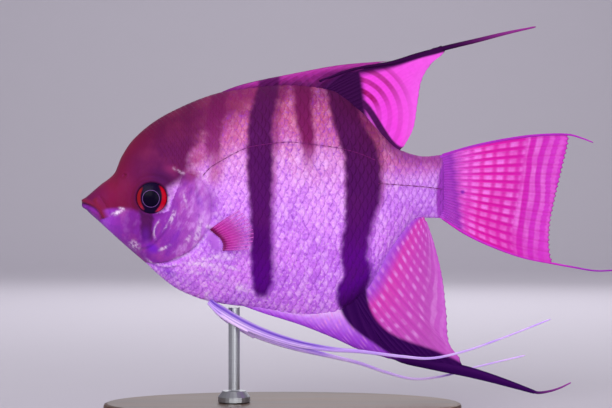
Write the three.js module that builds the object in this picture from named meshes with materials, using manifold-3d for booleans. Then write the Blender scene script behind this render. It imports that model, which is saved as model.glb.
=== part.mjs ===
// A freshwater angelfish as a still, life-size display model on a plain stand.
// Millimetres, +Z up. The snout points to -X, the tail to +X, and the left flank faces -Y.
// The origin is the middle of the stand base's underside.
// Inside the fish group, x runs from the snout tip and z from the level of the snout tip.

import * as THREE from 'three';
import { mergeVertices } from 'three/addons/utils/BufferGeometryUtils.js';
import Module from 'manifold-3d';

// ---------------------------------------------------------------- driving dimensions

const BODY_END = 101.4;             // snout tip to the hind edge of the tail stem
const SNOUT_HEIGHT = 62;            // snout tip above the table
const STAND_X = 42.5;               // where the rod meets the belly, from the snout
const BASE_CENTRE_X = 56;           // middle of the base, from the snout
const GAP = 0.3;                    // clearance between neighbouring pieces
const HALF_GAP = GAP / 2;
const COVER_THICKNESS = 1.5;        // of the gill covers
const STEM_START = 90.6;            // where the tail stem starts

const TAIL_BEND = 6;                // sideways sweep of the tail at BEND_REACH
const BEND_START = 70;              // where the tail starts to bend away
const BEND_REACH = 70;

const FIN_ROOT = 1.2;               // fin thickness at the body
const FIN_EDGE = 0.55;              // fin thickness at the free edge
const FIN_SEAT = GAP + 0.05;        // fin root above the body's facets

const EYE = { x: 20.1, z: 1.1, radius: 4.3, front: 7.4, rim: 6.4, depth: 3.2 };

const BASE = { length: 100, width: 56, thick: 6, bevel: 1 };
const COLLAR = { radius: 4.5, height: 3 };
const ROD_RADIUS = 1.6;

const BODY_RINGS = 50;
const BODY_SIDES = 20;
const EYE_SIDES = 20;

// ---------------------------------------------------------------- curves

/** Smooth curve z(x) through knots, with no overshoot between them (monotone cubic). */
function profile(knots) {
  const n = knots.length;
  const step = [];
  const rise = [];
  for (let i = 0; i < n - 1; i++) {
    step.push(knots[i + 1][0] - knots[i][0]);
    rise.push((knots[i + 1][1] - knots[i][1]) / step[i]);
  }
  const slope = [rise[0]];
  for (let i = 1; i < n - 1; i++) {
    const turns = rise[i - 1] * rise[i] <= 0;
    const before = 2 * step[i] + step[i - 1];
    const after = step[i] + 2 * step[i - 1];
    slope.push(turns ? 0 : (before + after) / (before / rise[i - 1] + after / rise[i]));
  }
  slope.push(rise[n - 2]);
  return (x) => {
    const at = Math.min(Math.max(x, knots[0][0]), knots[n - 1][0]);
    let i = 0;
    while (i < n - 2 && at > knots[i + 1][0]) i++;
    const t = (at - knots[i][0]) / step[i];
    const s = 1 - t;
    return (1 + 2 * t) * s * s * knots[i][1] + t * s * s * step[i] * slope[i]
      + t * t * (3 - 2 * t) * knots[i + 1][1] - t * t * s * step[i] * slope[i + 1];
  };
}

/** Smooth path through points [x, z] in the fish's mid-plane, or [x, y, z], by share of its length. */
function path(...points) {
  const vectors = points.map((p) => (p.length === 2
    ? new THREE.Vector3(p[0], 0, p[1]) : new THREE.Vector3(...p)));
  const curve = new THREE.CatmullRomCurve3(vectors, false, 'centripetal');
  curve.arcLengthDivisions = 400;
  return (share) => curve.getPointAt(Math.min(Math.max(share, 0), 1));
}

const mix = (a, b, t) => a + (b - a) * t;

/** Sideways sweep of the mid-plane at x. */
function bend(x) {
  const past = Math.max(0, (x - BEND_START) / BEND_REACH);
  return TAIL_BEND * past * past;
}

// ---------------------------------------------------------------- the body's form

// back: lips, notch over the eye, steep forehead, arched back, drop behind the dorsal fin, tail stem
const back = profile([
  [0, 0.6], [5, 4.9], [9.2, 8.5], [10.9, 12.6], [14.5, 17.9], [24.6, 25.3], [41.3, 31.4],
  [57, 33.1], [69.3, 31.8], [77.1, 26.5], [89.4, 14.6], [95.8, 13.0], [BODY_END, 13.6],
]);

// belly: lips, throat, breast, vent, rise over the anal fin, tail stem
const belly = profile([
  [0, -1.1], [5, -5.9], [16.2, -15.9], [27.4, -24.9], [36.3, -28.1], [49.7, -29.9],
  [62.5, -31.8], [70.7, -31.0], [79.3, -25.1], [88.8, -9.8], [94.4, -4.6], [BODY_END, -4.8],
]);

// half of the body's width, and the level where it is widest
const halfWidth = profile([
  [0, 0.9], [2, 2.2], [8, 4.3], [15, 6.0], [20, 6.9], [30, 8.2], [40, 8.5], [55, 7.7],
  [70, 6.0], [80, 4.6], [90, 3.3], [98, 2.3], [BODY_END, 0.8],
]);
const widestLevel = profile([[0, -0.2], [19, 0.6], [38, -3], [60, 1.5], [90, 4.2], [BODY_END, 4.4]]);

// how sharply the flanks close to the back and belly: 1 is an ellipse, more is a lens
const keel = profile([[0, 1], [10, 1.1], [22, 1.35], [45, 1.5], [85, 1.35], [BODY_END, 1.1]]);

/** Point of the body's surface at x and turn, counted from the left flank over the back. */
function bodyPoint(x, turn, inset = 0) {
  const up = Math.sin(turn);
  const out = Math.cos(turn);
  const level = widestLevel(x);
  const reach = up > 0 ? back(x) - inset - level : level - belly(x) - inset;
  const half = Math.max(0.15, halfWidth(x) - inset);
  const side = Math.sign(out) * Math.pow(Math.abs(out), keel(x));
  return new THREE.Vector3(x, bend(x) - half * side, level + up * Math.max(0.2, reach));
}

/** Half of the body's width at a point of the flank. */
function flankWidth(x, z) {
  const level = widestLevel(x);
  const reach = z > level ? back(x) - level : level - belly(x);
  const up = Math.min(1, Math.abs(z - level) / reach);
  return halfWidth(x) * Math.pow(1 - up * up, keel(x) / 2);
}

// ---------------------------------------------------------------- closed meshes

/** The geometry with only its positions, its shared vertices merged. */
function welded(geometry) {
  const bare = geometry.clone();
  bare.deleteAttribute('normal');
  bare.deleteAttribute('uv');
  return mergeVertices(bare, 1e-6);
}

/** Six times the volume that a closed geometry holds, below zero if it is inside out. */
function signedVolume(geometry) {
  const [a, b, c] = [new THREE.Vector3(), new THREE.Vector3(), new THREE.Vector3()];
  const { position } = geometry.attributes;
  let sum = 0;
  for (let i = 0; i < geometry.index.count; i += 3) {
    a.fromBufferAttribute(position, geometry.index.getX(i));
    b.fromBufferAttribute(position, geometry.index.getX(i + 1));
    c.fromBufferAttribute(position, geometry.index.getX(i + 2));
    sum += a.dot(b.cross(c));
  }
  return sum;
}

/** A closed base shape with each of its points moved by place(point), its faces pointing out. */
function shaped(base, place) {
  const geometry = welded(base);
  const { position } = geometry.attributes;
  const point = new THREE.Vector3();
  for (let i = 0; i < position.count; i++) {
    const moved = place(point.fromBufferAttribute(position, i).clone());
    position.setXYZ(i, moved.x, moved.y, moved.z);
  }
  if (signedVolume(geometry) < 0) {
    const { index } = geometry;
    for (let i = 0; i < index.count; i += 3) {
      const second = index.getX(i + 1);
      index.setX(i + 1, index.getX(i + 2));
      index.setX(i + 2, second);
    }
  }
  return geometry;
}

/** Where each ring of the body stands: closer together where the outline is steep. */
function ringStations(count) {
  const steps = 800;
  const along = [0];
  for (let i = 1; i <= steps; i++) {
    const [x0, x1] = [((i - 1) / steps) * BODY_END, (i / steps) * BODY_END];
    const climb = Math.max(Math.abs(back(x1) - back(x0)), Math.abs(belly(x1) - belly(x0)));
    along.push(along[i - 1] + Math.hypot(x1 - x0, climb));
  }
  const stations = [];
  let j = 0;
  for (let i = 0; i <= count; i++) {
    const wanted = (along[steps] * i) / count;
    while (j < steps && along[j] < wanted) j++;
    stations.push((j / steps) * BODY_END);
  }
  return stations;
}

/** The whole body as one closed form, or a smaller one inside it by inset. */
function bodyForm(inset = 0, rings = BODY_RINGS, sides = BODY_SIDES) {
  const stations = ringStations(rings);
  const tube = new THREE.CylinderGeometry(1, 1, 1, sides, rings);
  return shaped(tube, (p) => {
    const x = stations[Math.round((p.y + 0.5) * rings)];
    const isCentre = Math.hypot(p.x, p.z) < 0.5;
    if (isCentre) return new THREE.Vector3(x, bend(x), widestLevel(x));
    return bodyPoint(x, Math.atan2(p.z, p.x), inset);
  });
}

/** A thin fin: root(u) to edge(u), bowed through belly(u), u along the root and v along the rays. */
function finForm({ root, bow, edge, along = 14, out = 6, thickRoot = FIN_ROOT, thickEdge = FIN_EDGE }) {
  const surface = (u, v) => {
    const [a, b, c] = [root(u), bow(u), edge(u)];
    return a.multiplyScalar((1 - v) ** 2)
      .add(b.multiplyScalar(2 * v * (1 - v)))
      .add(c.multiplyScalar(v * v));
  };
  const slab = new THREE.BoxGeometry(1, 1, 1, along, 1, out);
  return shaped(slab, (p) => {
    const [u, v] = [p.x + 0.5, p.z + 0.5];
    const [u0, u1] = [Math.max(0, u - 0.02), Math.min(1, u + 0.02)];
    const [v0, v1] = [Math.max(0, v - 0.02), Math.min(1, v + 0.02)];
    const across = surface(u1, v).sub(surface(u0, v));
    const normal = across.cross(surface(u, v1).sub(surface(u, v0))).normalize();
    const half = mix(thickRoot, thickEdge, v) / 2;
    const at = surface(u, v).addScaledVector(normal, 2 * p.y * half);
    at.y += bend(at.x);
    return at;
  });
}

/** A tapering ray along a path; its depth and width are functions of the share of its length. */
function rayForm({ line, depth, width, steps = 18, sides = 8 }) {
  const tube = new THREE.CylinderGeometry(1, 1, 1, sides, steps);
  return shaped(tube, (p) => {
    const share = p.y + 0.5;
    const at = line(share);
    const ahead = line(Math.min(1, share + 0.01)).sub(line(Math.max(0, share - 0.01))).normalize();
    const side = new THREE.Vector3(0, 1, 0).addScaledVector(ahead, -ahead.y).normalize();
    const up = ahead.clone().cross(side);
    at.addScaledVector(side, (p.x * width(share)) / 2).addScaledVector(up, (p.z * depth(share)) / 2);
    at.y += bend(at.x);
    return at;
  });
}

// ---------------------------------------------------------------- cutting and joining

const solids = await Module();
solids.setup();

/** A manifold solid from a closed geometry. */
function solidOf(geometry) {
  const { position } = geometry.attributes;
  const mesh = new solids.Mesh({
    numProp: 3,
    vertProperties: new Float32Array(position.array),
    triVerts: new Uint32Array(geometry.index.array),
  });
  return new solids.Manifold(mesh);
}

/** A geometry from a manifold solid. */
function geometryOf(solid) {
  const mesh = solid.getMesh();
  const geometry = new THREE.BufferGeometry();
  geometry.setAttribute('position', new THREE.BufferAttribute(new Float32Array(mesh.vertProperties), 3));
  geometry.setIndex(new THREE.BufferAttribute(new Uint32Array(mesh.triVerts), 1));
  return geometry;
}

/** A solid that runs right through the fish from side to side, with an outline of [x, z] points. */
function throughCut(outline, from = -30, to = 30) {
  const shape = new THREE.Shape(outline.map(([x, z]) => new THREE.Vector2(x, z)));
  const slab = new THREE.ExtrudeGeometry(shape, { depth: to - from, bevelEnabled: false });
  return solidOf(shaped(slab, (p) => new THREE.Vector3(p.x, from + p.z, p.y)));
}

/** A line of [x, z] points moved sideways: to its left, as it runs, if the shift is above zero. */
function shifted(line, shift, isLoop = false) {
  const last = line.length - 1;
  return line.map(([x, z], i) => {
    const before = line[i > 0 ? i - 1 : (isLoop ? last : 0)];
    const after = line[i < last ? i + 1 : (isLoop ? 0 : last)];
    const [dx, dz] = [after[0] - before[0], after[1] - before[1]];
    const length = Math.hypot(dx, dz);
    return [x - (dz / length) * shift, z + (dx / length) * shift];
  });
}

/** Points of a smooth path in the mid-plane, as [x, z]. */
function traced(curve, count) {
  return Array.from({ length: count + 1 }, (_, i) => {
    const at = curve(i / count);
    return [at.x, at.z];
  });
}

// ---------------------------------------------------------------- where the body is parted

// the hind edge of the gill cover, from its upper corner round to the throat
const gillEdge = traced(path([29.1, 8.4], [33.4, 6.4], [36.2, 2.2], [36.8, -2.5], [35.2, -8],
  [30.7, -13.4], [24, -16.6], [17, -17]), 16);
// the fore edge of the gill cover, up from the throat
const gillFront = traced(path([17, -17], [20.6, -13.4], [23.8, -6.5], [25.2, 1], [29.1, 8.4]), 10);
// the nape, down to the gill cover
const nape = traced(path([23.5, 34], [25.6, 18], [29.1, 8.4]), 5);
// the closed mouth, from the lips to the corner of the jaw and down to the throat
const mouth = traced(path([-2, 0.1], [2.2, -1.1], [5.8, -3.9], [8.4, -7.6], [9.6, -12.5], [9.8, -16]), 9);

const behindHead = [...nape, ...gillEdge.slice(1), [14, -21], [11, -30]];

/** Everything ahead of the line behind the head, moved forward by the clearance given. */
function headZone(clearance) {
  return throughCut([...shifted(behindHead, -clearance), [-10, -30], [-10, 34]]);
}

/** The patch that the two gill covers take up, on both flanks. */
function gillZone(clearance) {
  return throughCut(shifted([...gillEdge, ...gillFront.slice(1, -1)], clearance, true));
}

/** The lower jaw's zone, under the closed mouth. */
function jawZone(clearance) {
  return throughCut([...shifted(mouth, -clearance), [-10, -16], [-10, 0.1]]);
}

/** The eyeball, turned about a sideways axis: side is -1 for the left eye and 1 for the right. */
function eyeForm(side, clearance = 0) {
  const outline = [];
  const steps = 4;
  const { radius, front, rim, depth } = EYE;
  for (let i = 0; i <= steps; i++) {
    const r = (radius * i) / steps;
    outline.push(new THREE.Vector2(r + (i > 0 ? clearance : 0), rim + (front - rim) * (1 - (r / radius) ** 2)));
  }
  outline.push(new THREE.Vector2(radius * 0.94 + clearance, rim - 1));
  outline.push(new THREE.Vector2(radius * 0.7 + clearance, depth + 0.6 - clearance));
  outline.push(new THREE.Vector2(0, depth - clearance));
  const lathe = new THREE.LatheGeometry(outline.reverse(), EYE_SIDES);
  return shaped(lathe, (p) => new THREE.Vector3(EYE.x + p.x, side * p.y, EYE.z + p.z));
}

/** The eye's socket: the eyeball's own shape, wider by the clearance and open to the outside. */
function socketSolid(side) {
  const ring = new THREE.CylinderGeometry(EYE.radius + GAP, EYE.radius + GAP, 8, EYE_SIDES);
  const mouthOfSocket = shaped(ring, (p) => new THREE.Vector3(
    EYE.x + p.x, side * (EYE.rim + 4 + p.y), EYE.z + p.z));
  return solidOf(eyeForm(side, GAP)).add(solidOf(mouthOfSocket));
}

// ---------------------------------------------------------------- the body's pieces

const whole = solidOf(bodyForm());
const coverCore = solidOf(bodyForm(COVER_THICKNESS));
const coverSeat = solidOf(bodyForm(COVER_THICKNESS + GAP));

/** The zone behind x, past the end of the body. */
const behind = (x) => throughCut([[x, -60], [BODY_END + 5, -60], [BODY_END + 5, 60], [x, 60]]);

const headBlock = whole.intersect(headZone(HALF_GAP));
const covers = headBlock.intersect(gillZone(-HALF_GAP)).subtract(coverCore);
const head = headBlock.subtract(jawZone(-HALF_GAP))
  .subtract(gillZone(HALF_GAP).subtract(coverSeat))
  .subtract(socketSolid(-1))
  .subtract(socketSolid(1));
const lowerJaw = whole.intersect(jawZone(HALF_GAP));
const trunk = whole.subtract(headZone(-HALF_GAP)).subtract(behind(STEM_START - GAP));
const tailStem = whole.intersect(behind(STEM_START));

/** One side's gill cover. */
function gillCover(side) {
  const [from, to] = side < 0 ? [-30, -HALF_GAP] : [HALF_GAP, 30];
  return covers.intersect(throughCut([[0, -40], [60, -40], [60, 40], [0, 40]], from, to));
}

// ---------------------------------------------------------------- median fins

const overBack = (x) => new THREE.Vector3(x, 0, back(x) + FIN_SEAT);
const underBelly = (x) => new THREE.Vector3(x, 0, belly(x) - FIN_SEAT);

/** A path along the back or belly between two places. */
const along = (place, from, to) => (u) => place(mix(from, to, u));

/** The straight line between root and edge, for fins with straight rays. */
const straight = (root, edge) => (u) => root(u).add(edge(u)).multiplyScalar(0.5);

const DORSAL = { start: 39.4, parting: 66.5, end: 88.6 };
const dorsalSpinyRoot = along(overBack, DORSAL.start, DORSAL.parting);
const dorsalSpinyEdge = path([39.8, 31.8], [46, 33.3], [60.9, 36.3], [72, 38.3], [86, 39.5]);
const dorsalSpiny = finForm({
  root: dorsalSpinyRoot,
  edge: dorsalSpinyEdge,
  bow: path([39.6, 31.5], [58, 35], [76.4, 37.8]),
  along: 14,
  out: 2,
});

const dorsalSoftRoot = along(overBack, DORSAL.parting + 0.7, DORSAL.end);
const dorsalSoftEdge = path([86.6, 39.15], [94.4, 41.7], [101.2, 43.7], [101.5, 42.1], [98.1, 39.1],
  [95.2, 34.6], [93.9, 28], [92.6, 20.5], [90, 15.6]);
const dorsalSoft = finForm({
  root: dorsalSoftRoot,
  edge: dorsalSoftEdge,
  bow: path([77, 37.4], [81.5, 35.2], [84.8, 30], [87.5, 23.5], [89.3, 15.1]),
  along: 16,
  out: 5,
});

const ANAL = { start: 46.5, parting: 75.6, end: 95.6 };
const analSpinyRoot = along(underBelly, ANAL.start, ANAL.parting);
const analSpinyEdge = path([46.9, -30.7], [60.9, -34], [70.7, -38.2], [77.7, -41.4], [88.6, -44.6]);
const analSpiny = finForm({
  root: analSpinyRoot,
  edge: analSpinyEdge,
  bow: path([46.8, -30.4], [66, -35], [80.8, -38.3]),
  along: 14,
  out: 3,
});

const analSoftRoot = along(underBelly, ANAL.parting + 0.7, ANAL.end);
const analSoftEdge = path([89.2, -44.4], [97, -45.9], [105.7, -48], [106.1, -44.6], [102.9, -39.9],
  [102, -31], [100.8, -21], [98.6, -12], [96.4, -5.5]);
const analSoft = finForm({
  root: analSoftRoot,
  edge: analSoftEdge,
  bow: path([81.4, -38], [87.5, -34.8], [91.6, -25], [93.8, -15], [95.8, -5.4]),
  along: 18,
  out: 6,
});

// ---------------------------------------------------------------- tail fin

const CAUDAL_ROOT_X = 101.9;
const caudalRoot = path([CAUDAL_ROOT_X, 13.6], [CAUDAL_ROOT_X, 4.4], [CAUDAL_ROOT_X, -4.8]);
const caudalEdge = path([136.8, 19.3], [136.9, 17.4], [134.9, 9], [133, 1], [131.5, -7],
  [131.5, -14.5], [132.4, -17.5]);
const caudal = finForm({
  root: caudalRoot,
  edge: caudalEdge,
  bow: path([118.5, 18.9], [118, 12], [117, 2], [115, -8], [115, -14.6]),
  along: 14,
  out: 7,
});

// ---------------------------------------------------------------- trailing streamers

/** Thickness that falls from one size to another along a ray, the tip rounded off. */
const taper = (from, to, power = 1) => (share) => {
  const rounding = Math.sqrt(Math.max(0.12, Math.min(1, (1 - share) * 12)));
  return mix(from, to, share ** power) * rounding;
};
const fine = 0.6;

const dorsalStreamer = rayForm({
  line: path([101.8, 43.1], [110, 45.2], [119, 47.5], [127.5, 49.4]),
  depth: taper(1.7, 0.75),
  width: taper(0.9, 0.7),
  steps: 12,
});

const analStreamer = rayForm({
  line: path([106.3, -46.4], [113, -48.6], [120, -51], [127.4, -53.9]),
  depth: taper(3.2, 1.1),
  width: taper(1, 0.8),
  steps: 12,
});

const analFilament = rayForm({
  line: path([127.8, -53.9], [131, -53.4], [134.2, -52.5], [137.5, -51]),
  depth: taper(0.9, fine),
  width: taper(0.8, fine),
  steps: 6,
});

const caudalStreamerUpper = rayForm({
  line: path([137.2, 18.3], [140.5, 17.8], [144.1, 16.8]),
  depth: taper(1.2, fine),
  width: taper(0.7, fine),
  steps: 5,
});

const caudalStreamerLower = rayForm({
  line: path([132.9, -16.9], [138, -18.4], [145, -19.5], [153.6, -19.1]),
  depth: taper(1, fine),
  width: taper(0.7, fine),
  steps: 10,
});

// ---------------------------------------------------------------- pelvic fins

// each pelvic fin: a strong spine and ray that leave the belly together, then one long soft ray
const PELVIC = {
  left: {
    fin: [[36.7, -1.9, -28.6], [42, -3.6, -32], [49, -5.2, -35.4], [59, -6.1, -38.7],
      [69, -6.5, -40.5], [77.6, -6.5, -41.2]],
    streamer: [[78, -6.5, -41.3], [88.8, -6.3, -42.6], [97, -6, -43.2], [106, -5.4, -41.5],
      [116.8, -4.6, -38], [131.3, -3.4, -32.7]],
  },
  right: {
    fin: [[36.7, 1.9, -28.9], [41.5, 3.8, -32.9], [48.5, 5.4, -37.1], [59, 6.2, -40.9],
      [69, 6.5, -43.5], [77.6, 6.5, -45.6]],
    streamer: [[78, 6.5, -45.7], [85.5, 6.4, -48.3], [93, 6.2, -50.1], [101, 5.9, -49.4],
      [110, 5.4, -47], [125.1, 4.6, -43.5]],
  },
};

/** The broad first stretch of a pelvic fin. */
function pelvicFin({ fin }) {
  return rayForm({
    line: path(...fin),
    depth: (share) => mix(2.7, 1.35, share) * Math.min(1, 0.55 + share * 3),
    width: (share) => mix(1.5, 0.9, share),
    steps: 18,
  });
}

/** The long soft ray that trails from a pelvic fin. */
function pelvicStreamer({ streamer }) {
  return rayForm({
    line: path(...streamer),
    depth: taper(1.3, fine),
    width: taper(0.9, fine),
    steps: 22,
    sides: 6,
  });
}

// ---------------------------------------------------------------- pectoral fins

const PECTORAL = { flare: 0.6, length: 12.6, seat: GAP + 0.35 };

/** A breast fin: a fan that stands out from the flank behind the gill cover. */
function pectoralFin(side) {
  const onFlank = (x, z) => new THREE.Vector3(x, side * (flankWidth(x, z) + PECTORAL.seat), z);
  const root = (u) => onFlank(mix(37.6, 39.2, u), mix(-6.8, -12.9, u));
  const edge = (u) => {
    const lean = mix(0.56, 0.04, u);
    const rounding = 1 - 0.16 * (2 * u - 1) ** 2;
    const reach = PECTORAL.length * rounding;
    const out = Math.sin(PECTORAL.flare) * reach;
    const flat = Math.cos(PECTORAL.flare) * reach;
    const at = root(u);
    return new THREE.Vector3(at.x + flat * Math.cos(lean), at.y + side * out, at.z + flat * Math.sin(lean));
  };
  return finForm({ root, edge, bow: straight(root, edge), along: 9, out: 4, thickRoot: 1 });
}

// ---------------------------------------------------------------- stand

/** The base: a long oval board with a small bevel round its top and bottom edges. */
function standBase() {
  const outline = new THREE.Shape();
  const [a, b] = [BASE.length / 2 - BASE.bevel, BASE.width / 2 - BASE.bevel];
  outline.absellipse(0, 0, a, b, 0, Math.PI * 2, false);
  const board = new THREE.ExtrudeGeometry(outline, {
    depth: BASE.thick - 2 * BASE.bevel,
    bevelThickness: BASE.bevel,
    bevelSize: BASE.bevel,
    bevelSegments: 2,
    curveSegments: 24,
  });
  return shaped(board, (p) => new THREE.Vector3(p.x, p.y, p.z + BASE.bevel));
}

/** The collar that holds the rod in the base. */
function standCollar() {
  const { radius, height } = COLLAR;
  const outline = [[0, 0], [radius, 0], [radius, height * 0.45], [radius * 0.72, height], [0, height]];
  const turned = new THREE.LatheGeometry(outline.map(([r, h]) => new THREE.Vector2(r, h)), 24);
  const foot = BASE.thick + GAP;
  return shaped(turned, (p) => new THREE.Vector3(p.x + STAND_X - BASE_CENTRE_X, p.z, p.y + foot));
}

/** The rod from the collar up to the belly. */
function standRod() {
  const foot = BASE.thick + COLLAR.height + 2 * GAP;
  const top = SNOUT_HEIGHT + belly(STAND_X) - GAP - 0.1;
  const rod = new THREE.CylinderGeometry(ROD_RADIUS, ROD_RADIUS, top - foot, 20);
  return shaped(rod, (p) => new THREE.Vector3(
    p.x + STAND_X - BASE_CENTRE_X, p.z, p.y + (top + foot) / 2));
}

// ---------------------------------------------------------------- materials

const finish = (color, roughness, metalness = 0) => new THREE.MeshStandardMaterial({
  color, roughness, metalness });

const LOOKS = {
  headSkin: finish(0x7a2347, 0.45),
  flank: finish(0xc08fdc, 0.35),
  cover: finish(0xb070c8, 0.35),
  fin: finish(0xe36fc6, 0.4),
  darkFin: finish(0x3a1048, 0.5),
  pelvic: finish(0xcdb8f2, 0.4),
  eye: finish(0xd01028, 0.15),
  wood: finish(0x5b4233, 0.5),
  steel: finish(0xb9bcc0, 0.3, 1),
};

// ---------------------------------------------------------------- the model

const model = new THREE.Group();
const fish = new THREE.Group();
fish.position.set(-BASE_CENTRE_X, 0, SNOUT_HEIGHT);
const stand = new THREE.Group();
model.add(fish, stand);

/** Adds one named piece to a group. */
function place(group, name, geometry, look) {
  const mesh = new THREE.Mesh(geometry, look);
  mesh.name = name;
  group.add(mesh);
}

place(fish, 'head', geometryOf(head), LOOKS.headSkin);
place(fish, 'lower_jaw', geometryOf(lowerJaw), LOOKS.headSkin);
place(fish, 'trunk', geometryOf(trunk), LOOKS.flank);
place(fish, 'tail_stem', geometryOf(tailStem), LOOKS.flank);
place(fish, 'dorsal_fin_spiny', dorsalSpiny, LOOKS.fin);
place(fish, 'dorsal_fin_soft', dorsalSoft, LOOKS.fin);
place(fish, 'dorsal_streamer', dorsalStreamer, LOOKS.darkFin);
place(fish, 'anal_fin_spiny', analSpiny, LOOKS.fin);
place(fish, 'anal_fin_soft', analSoft, LOOKS.fin);
place(fish, 'anal_streamer', analStreamer, LOOKS.darkFin);
place(fish, 'anal_filament', analFilament, LOOKS.darkFin);
place(fish, 'caudal_fin', caudal, LOOKS.fin);
place(fish, 'caudal_streamer_upper', caudalStreamerUpper, LOOKS.fin);
place(fish, 'caudal_streamer_lower', caudalStreamerLower, LOOKS.fin);
for (const [name, side] of [['left', -1], ['right', 1]]) {
  place(fish, `gill_cover_${name}`, geometryOf(gillCover(side)), LOOKS.cover);
  place(fish, `eye_${name}`, eyeForm(side), LOOKS.eye);
  place(fish, `pectoral_fin_${name}`, pectoralFin(side), LOOKS.fin);
  place(fish, `pelvic_fin_${name}`, pelvicFin(PELVIC[name]), LOOKS.pelvic);
  place(fish, `pelvic_streamer_${name}`, pelvicStreamer(PELVIC[name]), LOOKS.pelvic);
}
place(stand, 'stand_base', standBase(), LOOKS.wood);
place(stand, 'stand_collar', standCollar(), LOOKS.steel);
place(stand, 'stand_rod', standRod(), LOOKS.steel);

export default model;
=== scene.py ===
"""A freshwater angelfish as a still, life-size display model on a plain stand.

Lengths in this file are millimetres in the fish's own directions: x runs back from the snout tip, y to the
fish's right, z up from the level of the snout tip. Placement turns them into the frame's metres.
"""

import logging
import math
from collections.abc import Callable, Mapping, Sequence
from dataclasses import dataclass, field, replace
from enum import Enum

import bmesh
import bpy
import numpy as np
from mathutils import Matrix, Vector

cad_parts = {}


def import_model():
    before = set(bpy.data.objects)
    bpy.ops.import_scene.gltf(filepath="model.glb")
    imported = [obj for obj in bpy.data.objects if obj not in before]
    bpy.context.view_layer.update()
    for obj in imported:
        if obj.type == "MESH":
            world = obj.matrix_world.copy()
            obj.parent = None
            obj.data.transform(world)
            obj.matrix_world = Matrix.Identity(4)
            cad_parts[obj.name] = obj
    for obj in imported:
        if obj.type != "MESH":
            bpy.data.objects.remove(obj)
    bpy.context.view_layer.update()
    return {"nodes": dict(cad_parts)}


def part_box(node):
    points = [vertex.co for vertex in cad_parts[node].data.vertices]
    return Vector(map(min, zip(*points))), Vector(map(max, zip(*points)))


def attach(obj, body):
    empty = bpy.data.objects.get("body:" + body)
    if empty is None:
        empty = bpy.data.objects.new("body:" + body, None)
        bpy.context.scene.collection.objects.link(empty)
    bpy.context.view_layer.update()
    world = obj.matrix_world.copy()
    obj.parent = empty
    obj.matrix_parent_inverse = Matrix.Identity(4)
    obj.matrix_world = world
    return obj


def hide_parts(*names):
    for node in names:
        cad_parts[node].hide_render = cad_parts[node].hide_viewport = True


Array = np.ndarray
Masks = dict[str, Array]
Place = Callable[[Array, Array], Array]
Curve = Callable[[Array], Array]
Stops = tuple[tuple[float, str], ...]
Object = bpy.types.Object
Mesh = bpy.types.Mesh
Material = bpy.types.Material
Socket = bpy.types.NodeSocket
Inputs = dict[str, object]

LOG = logging.getLogger("angelfish")
MM = 0.001
BODY = "root"
BAKE_MAP = "OFBake"
MERGE = 1.5e-6  # metres: joins the edges that a mapped grid brings together
SCALE_BED = 0.25  # the skin lies this far inside the outline, under the scales


class Side(Enum):
    """A flank of the fish, with the sign of its y."""

    LEFT = -1
    RIGHT = 1

    @property
    def word(self) -> str:
        """The side's name as the nodes spell it."""
        return self.name.lower()


# ---------------------------------------------------------------- numbers and curves


def smooth(low: float | Array, high: float | Array, value: Array) -> Array:
    """Eased step from 0 at low to 1 at high.

    Args:
        low: Value where the step starts.
        high: Value where it ends.
        value: Values to ease.

    Returns:
        The eased values, from 0 to 1.
    """
    t = np.clip((value - low) / (high - low), 0, 1)
    return t * t * (3 - 2 * t)


def two_faces(t: Array) -> tuple[Array, Array]:
    """A share that rises over one face and falls over the other, and the sign of the face."""
    return 1 - np.abs(2 * t - 1), np.where(t < 0.5, -1.0, 1.0)


def between(value: Array, rise: float, risen: float, fall: float, fallen: float) -> Array:
    """1 from risen to fall, eased to 0 at rise and at fallen."""
    return smooth(rise, risen, value) * smooth(fallen, fall, value)


def hump(distance: Array, width: float) -> Array:
    """A rounded ridge: 1 at no distance, about a third at the width given."""
    return np.exp(-((distance / width) ** 2))


def mix(a: float | Array, b: float | Array, t: float | Array) -> float | Array:
    """The value that share t of the way from a to b gives."""
    return a + (b - a) * t


class Profile:
    """Smooth curve y(x) through knots, with no overshoot between them (monotone cubic)."""

    def __init__(self, *knots: tuple[float, float]) -> None:
        """Fits the curve.

        Args:
            knots: (x, y) pairs in order of x.
        """
        self.x, self.y = np.array(knots, float).T
        step = np.diff(self.x)
        rise = np.diff(self.y) / step
        before = 2 * step[1:] + step[:-1]
        after = step[1:] + 2 * step[:-1]
        turns = rise[:-1] * rise[1:] <= 0
        safe = np.where(np.abs(rise) < 1e-9, 1e-9, rise)
        inner = (before + after) / (before / safe[:-1] + after / safe[1:])
        self.slope = np.concatenate([rise[:1], np.where(turns, 0, inner), rise[-1:]])

    def __call__(self, x: float | Array) -> Array:
        """The curve's height at x, held level past its ends.

        Args:
            x: Places along the curve, held inside its ends.

        Returns:
            The curve's heights.
        """
        at = np.clip(x, self.x[0], self.x[-1])
        i = np.clip(np.searchsorted(self.x, at, side="right") - 1, 0, len(self.x) - 2)
        step = self.x[i + 1] - self.x[i]
        t = (at - self.x[i]) / step
        s = 1 - t
        near = (1 + 2 * t) * s * s * self.y[i] + t * s * s * step * self.slope[i]
        far = t * t * (3 - 2 * t) * self.y[i + 1] - t * t * s * step * self.slope[i + 1]
        return near + far


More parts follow.
